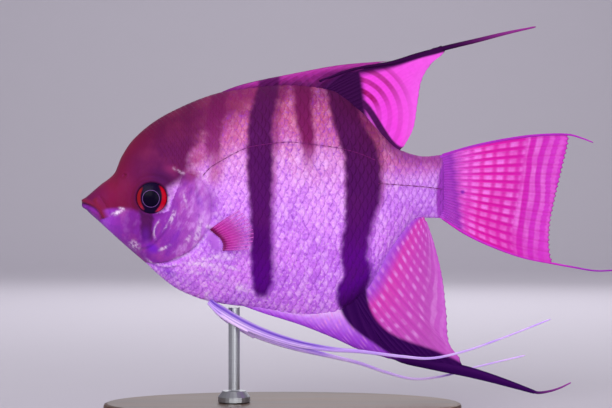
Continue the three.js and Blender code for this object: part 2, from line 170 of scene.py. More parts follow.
class Path:
    """Smooth line through points [x, z] of the mid-plane or [x, y, z], by share of its length."""

    FINENESS = 24

    def __init__(self, *points: Sequence[float]) -> None:
        """Runs a centripetal Catmull-Rom curve through the points.

        Args:
            points: Two or three numbers each, in order.
        """
        knots = np.array([(p[0], 0.0, p[1]) if len(p) == 2 else tuple(p) for p in points])
        ends = np.vstack([2 * knots[0] - knots[1], knots, 2 * knots[-1] - knots[-2]])
        gaps = np.linalg.norm(np.diff(ends, axis=0), axis=1) ** 0.5
        t = np.linspace(0, 1, self.FINENESS, endpoint=False)[:, None]
        dense = []
        for i in range(1, len(ends) - 2):
            p0, p1, p2, p3 = ends[i - 1:i + 3]
            d0, d1, d2 = gaps[i - 1:i + 2]
            m1 = d1 * ((p1 - p0) / d0 - (p2 - p0) / (d0 + d1) + (p2 - p1) / d1)
            m2 = d1 * ((p2 - p1) / d1 - (p3 - p1) / (d1 + d2) + (p3 - p2) / d2)
            cubic = (2 * p1 - 2 * p2 + m1 + m2) * t**3 + (3 * (p2 - p1) - 2 * m1 - m2) * t**2
            dense.append(cubic + m1 * t + p1)
        self.points = np.vstack([*dense, knots[-1:]])
        run = np.concatenate([[0], np.cumsum(np.linalg.norm(np.diff(self.points, axis=0), axis=1))])
        self.length = float(run[-1])
        self.shares = run / run[-1]

    def __call__(self, share: float | Array) -> Array:
        """The points at these shares of the length, an (N, 3) array."""
        at = np.clip(np.atleast_1d(share), 0, 1)
        return np.stack([np.interp(at, self.shares, column) for column in self.points.T], axis=-1)

    def measure(self, x: Array, z: Array, coarse: int = 6) -> tuple[Array, Array]:
        """How far points of the mid-plane lie from the line, seen from the side.

        Args:
            x: Places along the fish.
            z: Their heights.
            coarse: Takes every so many of the line's points.

        Returns:
            The distance, above zero to the line's left as it runs, and the share of the line's length.
        """
        line = np.vstack([self.points[::coarse], self.points[-1:]])
        run = np.append(self.shares[::coarse], 1.0)
        best = np.full(x.shape, np.inf)
        side = np.ones(x.shape)
        share = np.zeros(x.shape)
        for (x0, _, z0), (x1, _, z1), s0, s1 in zip(line[:-1], line[1:], run[:-1], run[1:]):
            dx, dz = x1 - x0, z1 - z0
            size = dx * dx + dz * dz
            if size < 1e-12:
                continue
            t = np.clip(((x - x0) * dx + (z - z0) * dz) / size, 0, 1)
            ox, oz = x - x0 - t * dx, z - z0 - t * dz
            away = np.hypot(ox, oz)
            nearer = away < best - 1e-9
            best = np.where(nearer, away, best)
            side = np.where(nearer, np.sign(dx * oz - dz * ox), side)
            share = np.where(nearer, s0 + t * (s1 - s0), share)
        return best * np.where(side == 0, 1, side), share


# ---------------------------------------------------------------- the body's form

BODY_END = 101.4  # hind end of the flesh, behind the snout tip
BEND = (6, 70, 70)  # sideways sweep of the tail: its size, its start and its reach


def bend(x: Array) -> Array:
    """Sideways sweep of the mid-plane at x."""
    size, start, reach = BEND
    return size * (np.maximum(0, x - start) / reach) ** 2


def swept(points: Array) -> Array:
    """Points carried along by the sweep of the tail."""
    return points + np.outer(bend(points[:, 0]), (0, 1, 0))


@dataclass(frozen=True)
class BodyForm:
    """The flesh: outlines of the back and belly, widths, and where the body is widest."""

    back: Profile = Profile(
        (0, 0.6), (5, 4.9), (9.2, 8.5), (10.9, 12.6), (14.5, 17.9), (24.6, 25.3), (41.3, 31.4), (57, 33.1),
        (69.3, 31.8), (77.1, 26.5), (89.4, 14.6), (95.8, 13), (101.4, 13.6))
    belly: Profile = Profile(
        (0, -1.1), (5, -5.9), (16.2, -15.9), (27.4, -24.9), (36.3, -28.1), (49.7, -29.9), (62.5, -31.8),
        (70.7, -31), (79.3, -25.1), (88.8, -9.8), (94.4, -4.6), (101.4, -4.8))
    half_width: Profile = Profile(
        (0, 0.9), (2, 2.2), (8, 4.3), (15, 6), (20, 6.9), (30, 8.2), (40, 8.5), (55, 7.7), (70, 6),
        (80, 4.6), (90, 3.3), (98, 2.3), (101.4, 0.8))
    widest: Profile = Profile((0, -0.2), (19, 0.6), (38, -3), (60, 1.5), (90, 4.2), (101.4, 4.4))
    keel: Profile = Profile((0, 1), (10, 1.1), (22, 1.35), (45, 1.5), (85, 1.35), (101.4, 1.1))
    snout_round: float = 1.0  # the tip of the snout rounds off over this length
    tail_round: float = 0.5
    least_half: float = 0.15  # the flesh never gets thinner than this
    least_reach: float = 0.2
    tables: dict[str, Array] = field(default_factory=dict)

    def __post_init__(self) -> None:
        """Works out the girth of each section, so that places can be given by a share of it."""
        stations = np.linspace(0, BODY_END, 420)
        turns = np.linspace(-math.pi / 2, math.pi / 2, 361)
        x, turn = np.meshgrid(stations, turns, indexing="ij")
        out, z = self.section(x, turn)
        run = np.hypot(np.diff(out, axis=1), np.diff(z, axis=1)).cumsum(axis=1)
        run = np.concatenate([np.zeros((len(stations), 1)), run], axis=1)
        girth = np.maximum(run[:, -1], 1e-6)
        shares = np.linspace(0, 1, 241)
        rows = [np.interp(shares, r / g, turns) for r, g in zip(run, girth)]
        self.tables["turns"] = np.array(rows)
        self.tables["girth"] = girth
        self.tables["middle"] = np.array([np.interp(0, turns, r / g) for r, g in zip(run, girth)])
        self.tables["stations"] = stations

    def section(self, x: Array, turn: Array) -> tuple[Array, Array]:
        """Half of the skin's section at x: its width and height at a turn from belly to back.

        Args:
            x: Places along the fish.
            turn: -90 degrees at the belly, 0 at the widest level, 90 at the back, in radians.

        Returns:
            The distance from the mid-plane, and the height.
        """
        up, out = np.sin(turn), np.maximum(np.cos(turn), 0)
        tip = np.clip(x / self.snout_round, 0, 1)
        end = np.clip((BODY_END - x) / self.tail_round, 0, 1)
        blunt = np.sqrt(np.clip(1 - (1 - tip) ** 2, 0, 1))
        close = np.sqrt(np.clip(1 - (1 - end) ** 2, 0, 1))
        level = self.widest(x)
        reach = np.where(up > 0, self.back(x) - level, level - self.belly(x)) - SCALE_BED
        half = np.maximum(self.least_half, self.half_width(x) - SCALE_BED)
        width = half * blunt * close * out ** self.keel(x)
        return width, level + up * np.maximum(self.least_reach, reach) * blunt

    def turn_at(self, x: Array, share: Array) -> Array:
        """The turn at a share of the girth, 0 at the belly and 1 at the back.

        Args:
            x: Places along the fish.
            share: Shares of the girth, 0 at the belly and 1 at the back.

        Returns:
            The turns, in radians.
        """
        turns = self.tables["turns"]
        i = np.clip(x / BODY_END, 0, 1) * (turns.shape[0] - 1)
        j = np.clip(share, 0, 1) * (turns.shape[1] - 1)
        i0 = np.minimum(i.astype(int), turns.shape[0] - 2)
        j0 = np.minimum(j.astype(int), turns.shape[1] - 2)
        fi, fj = i - i0, j - j0
        low = turns[i0, j0] * (1 - fi) + turns[i0 + 1, j0] * fi
        high = turns[i0, j0 + 1] * (1 - fi) + turns[i0 + 1, j0 + 1] * fi
        return low * (1 - fj) + high * fj

    def girth(self, x: Array) -> Array:
        """Length round one flank at x, from belly to back."""
        return np.interp(x, self.tables["stations"], self.tables["girth"])

    def middle(self, x: Array) -> Array:
        """Share of the girth where the body is widest."""
        return np.interp(x, self.tables["stations"], self.tables["middle"])

    def on_flank(self, x: Array, share: Array, side: Array | float) -> Array:
        """Points of the skin's plain form.

        Args:
            x: Places along the fish.
            share: Shares of the girth, from belly to back.
            side: -1 on the left flank and 1 on the right.

        Returns:
            An (N, 3) array.
        """
        width, z = self.section(x, self.turn_at(x, share))
        return np.stack([x, bend(x) + side * width, z], axis=-1)

    def normal(self, x: Array, share: Array, side: Array) -> Array:
        """Outward directions of the surface at these places, an (N, 3) array.

        Args:
            x: Places along the fish.
            share: Shares of the girth.
            side: -1 on the left flank and 1 on the right.

        Returns:
            An (N, 3) array.
        """
        step_x, step_s = 0.12, 0.004
        x0, x1 = np.maximum(x - step_x, 0.0), np.minimum(x + step_x, BODY_END)
        s0, s1 = np.maximum(share - step_s, 0), np.minimum(share + step_s, 1)
        along = self.on_flank(x1, share, side) - self.on_flank(x0, share, side)
        up = self.on_flank(x, s1, side) - self.on_flank(x, s0, side)
        out = np.cross(along, up) * side[..., None]
        size = np.linalg.norm(out, axis=-1, keepdims=True)
        out = -out / np.maximum(size, 1e-9)
        plain = np.stack([np.zeros_like(x), side, np.zeros_like(x)], axis=-1)
        return np.where(size > 1e-9, out, plain)

    def flank_width(self, x: Array, z: Array) -> Array:
        """Half of the body's width at a point seen from the side.

        Args:
            x: Places along the fish.
            z: Their heights.

        Returns:
            The distances from the mid-plane.
        """
        level = self.widest(x)
        reach = np.where(z > level, self.back(x) - level, level - self.belly(x))
        up = np.clip(np.abs(z - level) / reach, 0, 1)
        return self.half_width(x) * (1 - up * up) ** (self.keel(x) / 2)


FORM = BodyForm()

# The hind edge of the gill cover, from its upper corner round to the throat.
GILL_EDGE = Path(
    (29.1, 8.4), (33.4, 6.4), (36.2, 2.2), (36.8, -2.5), (35.2, -8), (30.7, -13.4), (24, -16.6), (17, -17))
# The ridges in front of the gill cover, down behind the cheek and forward to the jaw.
CHEEK_EDGE = Path(
    (27.6, 3.2), (27.1, -0.3), (26.1, -3.6), (24.6, -6.6), (22.4, -9.6), (19.4, -12.2), (14.6, -13.4))
CHEEK_INNER = Path((22.6, -4.6), (21.2, -6.7), (20.7, -8.9), (21.4, -10.6))
MEMBRANE = Path((17.6, -15.4), (20.4, -17), (23.6, -17.7), (28.8, -16.9))
TEMPLE = Path((25.7, 9.7), (26.6, 8.9), (27.6, 8.5), (28.4, 7.9), (29.5, 7.6))
# The lower edge of the dark hood, from the lips back over the eye and along the back.
HOOD_EDGE = Path(
    (-3, -0.3), (0, -0.35), (3, -1.25), (6, -2.2), (8, -1.9), (13.4, -1.9), (16.8, -2.6), (22.4, 0.6),
    (24.6, 4), (26.5, 5), (28.6, 6), (30.2, 8), (31.2, 11), (32.6, 14.4), (35, 17.8), (38.5, 20.8),
    (44, 24), (52, 28), (66, 29.6), (76, 24.6), (84, 16), (90, 11.6), (96, 10.6), (103, 10.6))
MOUTH = Path((-0.4, -0.25), (0.8, -0.45), (2.8, -1.2), (5, -2.9), (6.5, -5.3))
UPPER_JAW = Path((3.7, 1.4), (4.7, -0.4), (5.8, -2.4), (6.6, -4.8))
LATERAL_LINE = Path(
    (34.2, 7.2), (36.3, 9.5), (39.9, 11.7), (44.1, 14), (46.9, 15.1), (53.9, 16.2), (58.1, 16.5),
    (66.5, 15.6), (72.1, 14.8), (78, 13.2), (82, 11.5))
LATERAL_TAIL = Path((82.5, 5.1), (84.6, 5), (88.8, 4.7), (94.4, 4.3), (100.5, 3.6))


@dataclass(frozen=True)
class EyePlace:
    """Where the eyes sit, as the solids have them."""

    x: float = 20.1
    z: float = 1.1
    radius: float = 4.3
    front: float = 7.4
    rim: float = 6.4
    depth: float = 3.2

    def away(self, x: Array, z: Array) -> Array:
        """Distance from the eye's middle, seen from the side."""
        return np.hypot(x - self.x, z - self.z)


EYE = EyePlace()


@dataclass(frozen=True)
class Blotch:
    """A soft oval mark, seen from the side."""

    x: float
    z: float
    long: float
    wide: float
    turn: float = 0.0  # degrees that its length rises towards the tail
    strength: float = 1.0

    def mask(self, x: Array, z: Array) -> Array:
        """Strength of the mark at a place.

        Args:
            x: Places along the fish.
            z: Their heights.

        Returns:
            The strengths.
        """
        cosine, sine = math.cos(math.radians(self.turn)), math.sin(math.radians(self.turn))
        along = ((x - self.x) * cosine + (z - self.z) * sine) / self.long
        across = ((z - self.z) * cosine - (x - self.x) * sine) / self.wide
        return self.strength * np.exp(-((along**2 + across**2) ** 1.4))


@dataclass(frozen=True)
class Stroke:
    """A soft line beside a path. A pair of numbers changes evenly from the path's start to its end."""

    path: Path
    strength: float | tuple[float, float]
    width: float | tuple[float, float]
    shift: float | tuple[float, float] = 0.0  # to the path's left
    ends: tuple[float, float, float, float] = (0, 0.15, 0.85, 1)  # where it fades in and out, in shares

    def mask(self, x: Array, z: Array) -> Array:
        """Strength of the line at a place.

        Args:
            x: Places along the fish.
            z: Their heights.

        Returns:
            The strengths.
        """
        away, share = self.path.measure(x, z)
        strength, width, shift = (
            mix(*np.broadcast_to(pair, 2), share) for pair in (self.strength, self.width, self.shift))
        return strength * hump(away - shift, width) * between(share, *self.ends)


def blotches(*marks: tuple[float, ...]) -> tuple[Blotch, ...]:
    """Several marks, from the numbers of each."""
    return tuple(Blotch(*mark) for mark in marks)


def strongest(marks: Sequence[Blotch | Stroke], x: Array, z: Array) -> Array:
    """The strongest of several marks at a place."""
    return np.maximum.reduce([mark.mask(x, z) for mark in marks])


# The fleshy lobe that carries the breast fin.
FIN_LOBE = Blotch(37, -10.6, 3.6, 1.5, -62)


@dataclass(frozen=True)
class Relief:
    """What the skin adds to the body's plain form: lips, jaw, sockets, nostrils and gill covers."""

    socket_depth: float = 3.4
    cover_height: float = 0.34
    groove_depth: float = 0.26
    nostril: tuple[float, float] = (12.4, 7.4)
    folds: tuple[Blotch | Stroke, ...] = (
        # the bony ridges between cheek and gill cover
        Stroke(CHEEK_EDGE, 0.26, 0.5, -0.4, (0, 0.12, 0.8, 1)),
        Stroke(CHEEK_EDGE, -0.2, 0.4, 0.45, (0, 0.12, 0.8, 1)),
        Stroke(CHEEK_INNER, 0.16, 0.45),
        # the folds of the throat
        Stroke(MEMBRANE, 0.2, 0.45),
        Stroke(MEMBRANE, -0.22, 0.5, -0.9, (0, 0.2, 0.8, 1)),
        # the closed mouth, its two lips and the band of the upper jaw
        Stroke(MOUTH, -0.36, 0.2, 0, (-2, -1, 0.9, 1)),
        Stroke(MOUTH, 0.42, 0.55, 0.75, (-2, -1, 0.25, 0.8)),
        Stroke(MOUTH, (0.5, 0.2), 0.55, -0.75, (-2, -1, 0.4, 1)),
        Stroke(UPPER_JAW, 0.36, (0.9, 1.4), 0, (0, 0.2, 0.93, 1)),
        Stroke(UPPER_JAW, -0.26, 0.35, (1.4, 1.9), (0, 0.2, 0.93, 1)),
        # the breast fin's lobe, and swellings of the cheek and the chin
        replace(FIN_LOBE, strength=0.5),
        *blotches((10.5, -2.8, 1.9, 0.8, 20, 0.14), (2.2, -3.4, 2.2, 1.2, 0, 0.12)),
    )
    bone: tuple[Blotch, ...] = blotches((30.5, -5, 5, 9, 10), (15.5, -6.5, 6, 4, -20))

    def height(self, x: Array, z: Array) -> Array:
        """How far the skin stands out from the plain form.

        Args:
            x: Places along the fish.
            z: Their heights.

        Returns:
            The heights, below zero where the skin sinks in.
        """
        folds, bone = (sum(mark.mask(x, z) for mark in marks) for marks in (self.folds, self.bone))
        uneven = 0.05 * np.sin(1.5 * x + 0.7 * z) * np.sin(1.3 * z - 0.5 * x)
        return folds + uneven * bone + self.head(x, z) + self.gill_cover(x, z)

    def head(self, x: Array, z: Array) -> Array:
        """Sockets of the eyes, with their rims, and nostrils.

        Args:
            x: Places along the fish.
            z: Their heights.

        Returns:
            The heights of the relief.
        """
        rim = EYE.away(x, z) - EYE.radius
        lids = 0.14 * hump(rim - 0.5, 0.5) - 0.1 * hump(rim - 1.7, 0.6)
        hole = np.hypot((x - self.nostril[0]) / 1.1, z - self.nostril[1])
        raised = 0.12 * hump(hole - 0.66, 0.24) - 0.45 * hump(hole, 0.34)
        return lids - self.socket_depth * smooth(0.12, -0.75, rim) + raised

    def gill_cover(self, x: Array, z: Array) -> Array:
        """The cover's raised plate, its thin hind edge and the slot behind it.

        Args:
            x: Places along the fish.
            z: Their heights.

        Returns:
            The heights of the relief.
        """
        edge, share = GILL_EDGE.measure(x, z)
        plate = self.cover_height * mix(0.35, 1.0, smooth(6.5, 0.8, -edge)) * (edge < 0)
        slot = self.groove_depth * hump(edge - 0.42, 0.42) * (edge > -0.3)
        return between(share, 0, 0.1, 0.86, 1) * (plate * smooth(0.3, -0.3, edge) - slot)


RELIEF = Relief()


# ---------------------------------------------------------------- markings


@dataclass(frozen=True)
class Bar:
    """A dark upright bar, from the front edge x(z) to the hind edge x(z)."""

    front: Profile
    hind: Profile
    low: float
    high: float
    soft: float
    end_soft: float
    strength: float = 1.0

    def mask(self, x: Array, z: Array, ragged: Array | float = 0.0) -> Array:
        """How dark the bar is at a place, from 0 to its strength.

        Args:
            x: Places along the fish.
            z: Their heights.
            ragged: Shifts of the edges, so that they run uneven.

        Returns:
            The darkness at each place.
        """
        ahead = smooth(-self.soft, self.soft, x - self.front(z) + ragged)
        behind = smooth(-self.soft, self.soft, self.hind(z) - x + ragged)
        ends = smooth(self.low - self.end_soft, self.low + self.end_soft, z)
        top = 1 - smooth(self.high - self.end_soft, self.high + self.end_soft, z)
        return self.strength * ahead * behind * ends * top


@dataclass(frozen=True)
class Markings:
    """The fish's pattern, the same for the skin, the scales and the roots of the fins."""

    first: Bar = Bar(
        Profile((-30, 50), (-26, 48.6), (-20, 47.6), (-5, 47.4), (10, 46.4), (20, 46.6), (33, 49.5)),
        Profile((-30, 50.5), (-26, 51.8), (-20, 53.2), (-5, 53), (10, 53.4), (20, 53.2), (33, 55.5)),
        low=-26.2, high=60, soft=0.75, end_soft=1.3)
    second: Bar = Bar(
        Profile((-44, 80), (-38, 77), (-33, 73.8), (-29, 71.8), (-27, 71.3), (-24.5, 71.1), (-22, 72.3),
                (-19.5, 73.2), (-16, 72.2), (-12, 72.4), (-5, 73.5), (3.4, 73.5), (11.7, 73.3), (17, 71.8),
                (20, 70.8), (25, 69.5), (33, 68.4)),
        Profile((-44, 96), (-38, 90), (-33, 82.3), (-30, 80.6), (-27, 79.6), (-24, 79.7), (-20.5, 80.8),
                (-18, 80.3), (-15, 79.4), (-11, 79.8), (-5, 81.2), (3.4, 83.4), (11.7, 82.9), (15, 82),
                (18, 80.8), (20, 79.4), (22.5, 78), (25, 77.3), (33, 77.8)),
        low=-60, high=60, soft=0.8, end_soft=1.0)
    shoulder: Bar = Bar(
        Profile((5, 35), (20, 34.8), (30, 36)), Profile((5, 38.2), (20, 39.6), (30, 40.6)),
        low=11.5, high=60, soft=0.9, end_soft=3.5, strength=0.88)
    middle: Bar = Bar(
        Profile((-5, 62.6), (8, 62), (16, 61.4), (20, 60.4), (25, 59.4), (33, 59.2)),
        Profile((-5, 64.4), (8, 64.6), (16, 65), (25, 64.4), (33, 64.2)),
        low=11.5, high=60, soft=0.9, end_soft=6.0)
    cheek: Bar = Bar(
        Profile((-14, 17.2), (-3, 16.7)), Profile((-14, 20), (-3, 20.6)),
        low=-10.8, high=0, soft=0.6, end_soft=1.2, strength=0.86)
    hood_soft: Profile = Profile(
        (0, 0.25), (6, 0.5), (13, 0.8), (24, 1.2), (28, 2), (31, 3), (36, 3.4), (50, 3.4), (76, 3),
        (84, 2.2), (101.4, 2))
    hood_strength: Profile = Profile(
        (0, 1), (29, 1), (36, 0.92), (46, 0.86), (56, 0.7), (70, 0.5), (80, 0.75), (90, 0.62), (101.4, 0.5))
    tail_root: float = 98.9  # where the tail fin's violet bar begins
    # painted highlights where the bare, silvery skin of the cheek, gill cover and breast catches the light
    bright: tuple[Blotch, ...] = blotches(
        (10.5, -2.9, 1.7, 0.55, 20), (11.8, -1.9, 0.9, 0.35, -20, 0.8), (15, -12, 1.6, 1.1, -35, 0.6),
        (23.5, -12.6, 1.5, 0.45, 25, 0.7), (26, -4.2, 1.7, 0.3, 68, 0.7),
        (33.6, -11.2, 3, 0.5, 52, 0.55), (28.4, -15, 3, 0.5, 22, 0.5),
        (33.6, -17.2, 4.5, 0.7, -6, 0.9), (41.5, -18, 3.6, 0.5, -14, 0.7),
        (35.6, -15.6, 3, 0.45, 6, 0.9), (31.6, -19.4, 3, 0.5, -10, 0.6),
        (44.6, -23.6, 1.8, 0.8, 8, 0.8), (33, -8, 4.6, 0.8, 75, 0.5), (30, -10.4, 2, 0.6, 60, 0.4),
        (29.4, 0.6, 2.4, 0.4, -75, 0.4), (39.7, -15.1, 3.4, 0.7, -6, 0.8), (35.4, -6.6, 1.7, 0.5, -30, 0.6),
        (35.3, -26.2, 2.6, 1, -70, 0.6), (44.5, -24.2, 2.6, 0.7, -15, 0.5),
        (24.8, 0.2, 0.5, 1.8, 10, 0.35), (37.5, -18.6, 3.6, 0.6, -16, 0.55),
        (38.5, -21.6, 3.6, 0.5, -20, 0.45),
    )
    # painted highlights along the ridges and folds of the cheek, where they catch the light
    ridges: tuple[Stroke, ...] = (
        Stroke(CHEEK_INNER, 0.5, 0.24), Stroke(MEMBRANE, 0.5, 0.3), Stroke(TEMPLE, 0.4, 0.24),
        Stroke(CHEEK_EDGE, 0.6, 0.24, -0.3, (0.2, 0.3, 0.46, 0.56)),
    )
    # dark lines: painted shade in the gill's slit and the mouth's crease, and the sense organs along the
    # flank
    lines: tuple[Stroke, ...] = (
        Stroke(GILL_EDGE, 0.12, 0.35, 0.35, (0.05, 0.15, 0.85, 0.98)),
        Stroke(MOUTH, 0.45, 0.22, 0, (-2, -1, 0.85, 1)),
        Stroke(LATERAL_LINE, 0.3, 0.3, 0, (-2, -1, 2, 3)),
        Stroke(LATERAL_TAIL, 0.3, 0.3, 0, (-2, -1, 2, 3)),
    )
    # violet patches between them
    violet: tuple[Blotch, ...] = blotches(
        (20.2, -12.8, 1.9, 1.4, -20, 0.9), (24.4, -19.4, 2.6, 1.1, -25, 0.6),
        (18.3, -9.4, 1.4, 2.4, 0, 0.35), (33.5, 0.5, 1, 2.6, 20, 0.35), (36.8, 0.2, 4.4, 2.2, -80, 0.4),
        (38.4, -4.2, 2.4, 1.5, -60, 0.3), (27, -9, 0.8, 2.5, -30, 0.3),
        (36, -20.6, 5, 1.3, -14, 0.28), (30.5, -22.4, 3.4, 1.2, -30, 0.2),
    )
    # dark patches round the eye, on the temple and at the breast fin
    murky: tuple[Blotch, ...] = blotches(
        (23.2, 6.6, 3.6, 2.6, -20, 0.8), (28.6, 7.2, 2.6, 1.2, -20, 0.45),
        (36.5, -7.6, 1, 0.6, -40, 0.95), (18.8, -3.8, 1.3, 1.2, 0, 0.6), (25.4, 2.8, 0.9, 2.2, 15, 0.4),
        (32.6, 2.6, 0.5, 3.4, 8, 0.3), (30.6, 7.2, 2.6, 1.8, -10, 0.35),
    )
    # the rosy shoulder behind the gill cover
    rosy: tuple[Blotch, ...] = blotches(
        (38, 9.2, 5.5, 2.3, 82, 0.72), (33.4, 12.4, 4.2, 2.6, 60, 0.7), (31.2, 7.6, 2.6, 1.9, 0, 0.8),
        (36.2, 1, 4.6, 2.2, -75, 0.4), (41.4, 17, 4.5, 2.4, 80, 0.35), (25.4, 8.6, 2.4, 1.6, -10, 0.5),
    )

    def masks(self, x: Array, z: Array) -> Masks:
        """Strength of each marking at places seen from the side.

        Args:
            x: Places along the fish.
            z: Their heights.

        Returns:
            One array of numbers from 0 to 1 for each marking's name.
        """
        ragged = 0.14 * np.sin(1.3 * z + 1.5 * np.sin(0.7 * x)) + 0.08 * np.sin(3.1 * z + 1.7 * x)
        # the two black bars run out into a red-violet border, wider behind them and higher up
        upper, black, faint = smooth(10, 20, z), (self.first, self.second), (self.shoulder, self.middle)
        border = [bar.mask(x - 0.5 - 0.4 * upper, z, ragged + mix(0.7, 1.2, upper)) for bar in black]
        height = (z - FORM.belly(x)) / np.maximum(FORM.back(x) - FORM.belly(x), 1)
        away = EYE.away(x, z)
        soft = self.hood_soft(x)
        above, _ = HOOD_EDGE.measure(x, z)
        hood = smooth(-soft, soft, above + 4 * ragged * smooth(26, 32, x)) * self.hood_strength(x)
        gill, gill_share = GILL_EDGE.measure(x, z)
        ahead = (gill < 0) & (gill_share > 0.001)
        face = np.where(ahead, smooth(-1.5, 0.0, -gill), 0) * smooth(38, 36, x)
        lip, lip_share = MOUTH.measure(x, z)
        upper_lip = hump(lip - 0.7, 0.7) * smooth(0.8, 0.4, lip_share) * (lip > 0)
        jaw = Stroke(UPPER_JAW, 1.0, (0.9, 1.6), -0.1, (0, 0.15, 0.92, 1)).mask(x, z)
        # painted shade round the eye's socket, darker behind and above the eye
        lean = smooth(-3, 5, x - EYE.x + 0.5 * (z - EYE.z))
        orbit = hump(away - EYE.radius - 0.1, 0.7) * mix(0.4, 0.9, lean)
        return {
            "along": x / BODY_END,
            "height": np.clip(height, 0, 1),
            "hood": hood,
            "face": face,
            "bar": np.maximum(*(bar.mask(x, z, ragged) for bar in black)),
            "faint": np.maximum.reduce([
                0.62 * np.maximum(*border), *(bar.mask(x, z, ragged) for bar in faint)]),
            "violet": strongest(self.violet, x, z),
            "line": strongest(self.lines, x, z),
            "lip": np.maximum(jaw, 0.8 * upper_lip),
            "shade": np.maximum.reduce([orbit, strongest(self.murky, x, z), self.cheek.mask(x, z, ragged)]),
            "rosy": strongest(self.rosy, x, z),
            "silver": strongest((*self.bright, *self.ridges), x, z),
            "lobe": FIN_LOBE.mask(x, z),
            "tail_bar": smooth(-0.4, 0.4, x - self.tail_root - 0.018 * (z - 1) ** 2),
        }


MARKINGS = Markings()


# ---------------------------------------------------------------- meshes


@dataclass(frozen=True)
class Placement:
    """Where the fish stands in the frame: the snout tip's place, in metres."""

    snout_x: float
    snout_z: float

    @classmethod
    def from_frame(cls) -> "Placement":
        """Reads the snout's place off the head, and its level off the top of the back.

        Returns:
            The fish's place.
        """
        head_low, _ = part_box("head")
        _, trunk_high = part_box("trunk")
        crest = float(FORM.back(np.linspace(0, BODY_END, 400)).max())
        return cls(head_low.x, trunk_high.z - crest * MM)

    def to_row(self, points: Array) -> Array:
        """The frame's metres for points in the fish's millimetres."""
        return points * MM + np.array([self.snout_x, 0.0, self.snout_z])


def linked(name: str, data: bpy.types.ID) -> Object:
    """Puts a mesh, lamp or camera in the scene.

    Args:
        name: The object's name.
        data: What it shows.

    Returns:
        The object.
    """
    made = bpy.data.objects.new(name, data)
    bpy.context.scene.collection.objects.link(made)
    return made


class Workshop:
    """Makes the mesh objects, puts them in the scene, hangs them on the fish's body and hides the solids
    they replace.
    """

    def __init__(self, placement: Placement) -> None:
        """Keeps the fish's place for every piece that is made."""
        self.placement = placement

    def grid(self, name: str, columns: int, rows: int, place: Place,
             masks: Callable[[Array, Array], Masks] | None = None) -> Object:
        """A closed piece: a flat grid whose points are moved to their places, its meeting edges merged.

        Args:
            name: The piece's name.
            columns: Cells along u.
            rows: Cells along v.
            place: Gives points in the fish's millimetres for u and v from 0 to 1.
            masks: Gives named numbers for u and v, kept as attributes of the mesh.

        Returns:
            The object, smooth and in the scene.
        """
        bm = bmesh.new()
        bm.loops.layers.uv.new(BAKE_MAP)
        bmesh.ops.create_grid(bm, x_segments=columns, y_segments=rows, size=0.5, calc_uvs=True)
        mesh = bpy.data.meshes.new(name)
        bm.to_mesh(mesh)
        bm.free()
        flat = np.empty(len(mesh.vertices) * 3)
        mesh.vertices.foreach_get("co", flat)
        u, v = flat.reshape(-1, 3)[:, 0] + 0.5, flat.reshape(-1, 3)[:, 1] + 0.5
        self.keep_masks(mesh, masks(u, v) if masks else {})
        mesh.vertices.foreach_set("co", self.placement.to_row(place(u, v)).astype(np.float32).ravel())
        return self.closed(name, mesh)

    def closed(self, name: str, mesh: Mesh) -> Object:
        """Merges a mesh's doubles, turns its faces outwards and links it.

        Args:
            name: The piece's name.
            mesh: The mesh to clean.

        Returns:
            The object that holds it.
        """
        bm = bmesh.new()
        bm.from_mesh(mesh)
        bmesh.ops.remove_doubles(bm, verts=bm.verts, dist=MERGE)
        bmesh.ops.dissolve_degenerate(bm, edges=bm.edges, dist=MERGE)
        bmesh.ops.recalc_face_normals(bm, faces=bm.faces)
        for face in bm.faces:
            face.smooth = True
        bm.to_mesh(mesh)
        bm.free()
        return linked(name, mesh)

    def keep_masks(self, mesh: Mesh, masks: Mapping[str, Array]) -> None:
        """Keeps each named array as a number at every vertex of the mesh."""
        for name, values in masks.items():
            mesh.attributes.new(name, "FLOAT", "POINT").data.foreach_set("value", values.astype(np.float32))

    def joined(self, name: str, parts: Sequence[Object]) -> Object:
        """Makes one piece of several closed shells.

        Args:
            name: The piece's name.
            parts: The shells, which are used up.

        Returns:
            The joined object.
        """
        bpy.ops.object.select_all(action="DESELECT")
        for part in parts:
            part.select_set(True)
        bpy.context.view_layer.objects.active = parts[0]
        bpy.ops.object.join()
        parts[0].name = name
        parts[0].data.name = name
        return parts[0]

    def finish(self, piece: Object, material: Material, slot: str, *nodes: str) -> None:
        """Dresses a piece, lets it ride with the fish and hides the solids that it stands for.

        Args:
            piece: The piece.
            material: Its finish.
            slot: Not used.
            nodes: The solids that it replaces.
        """
        piece.data.materials.clear()
        piece.data.materials.append(material)
        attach(piece, BODY)
        if nodes:
            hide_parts(*nodes)
        faces = sum(len(p.vertices) - 2 for p in piece.data.polygons)
        LOG.info("%s: %d triangles, %s", piece.name, faces, material.name)


# ---------------------------------------------------------------- finishes

# What a fin's paint reads: place across and along its rays, strength of spots, stripes and dark, place on
# the ground from root to free edge, and how solid the film is.
FIN_MARKS = ("row", "run", "spots", "stripes", "dark", "reach", "film")


def linear(hex_colour: str) -> tuple[float, ...]:
    """A linear colour, with full alpha, for an sRGB hex value such as #7A2347."""
    parts = (int(hex_colour[i:i + 2], 16) / 255 for i in (1, 3, 5))
    return *(c / 12.92 if c <= 0.04045 else ((c + 0.055) / 1.055) ** 2.4 for c in parts), 1.0


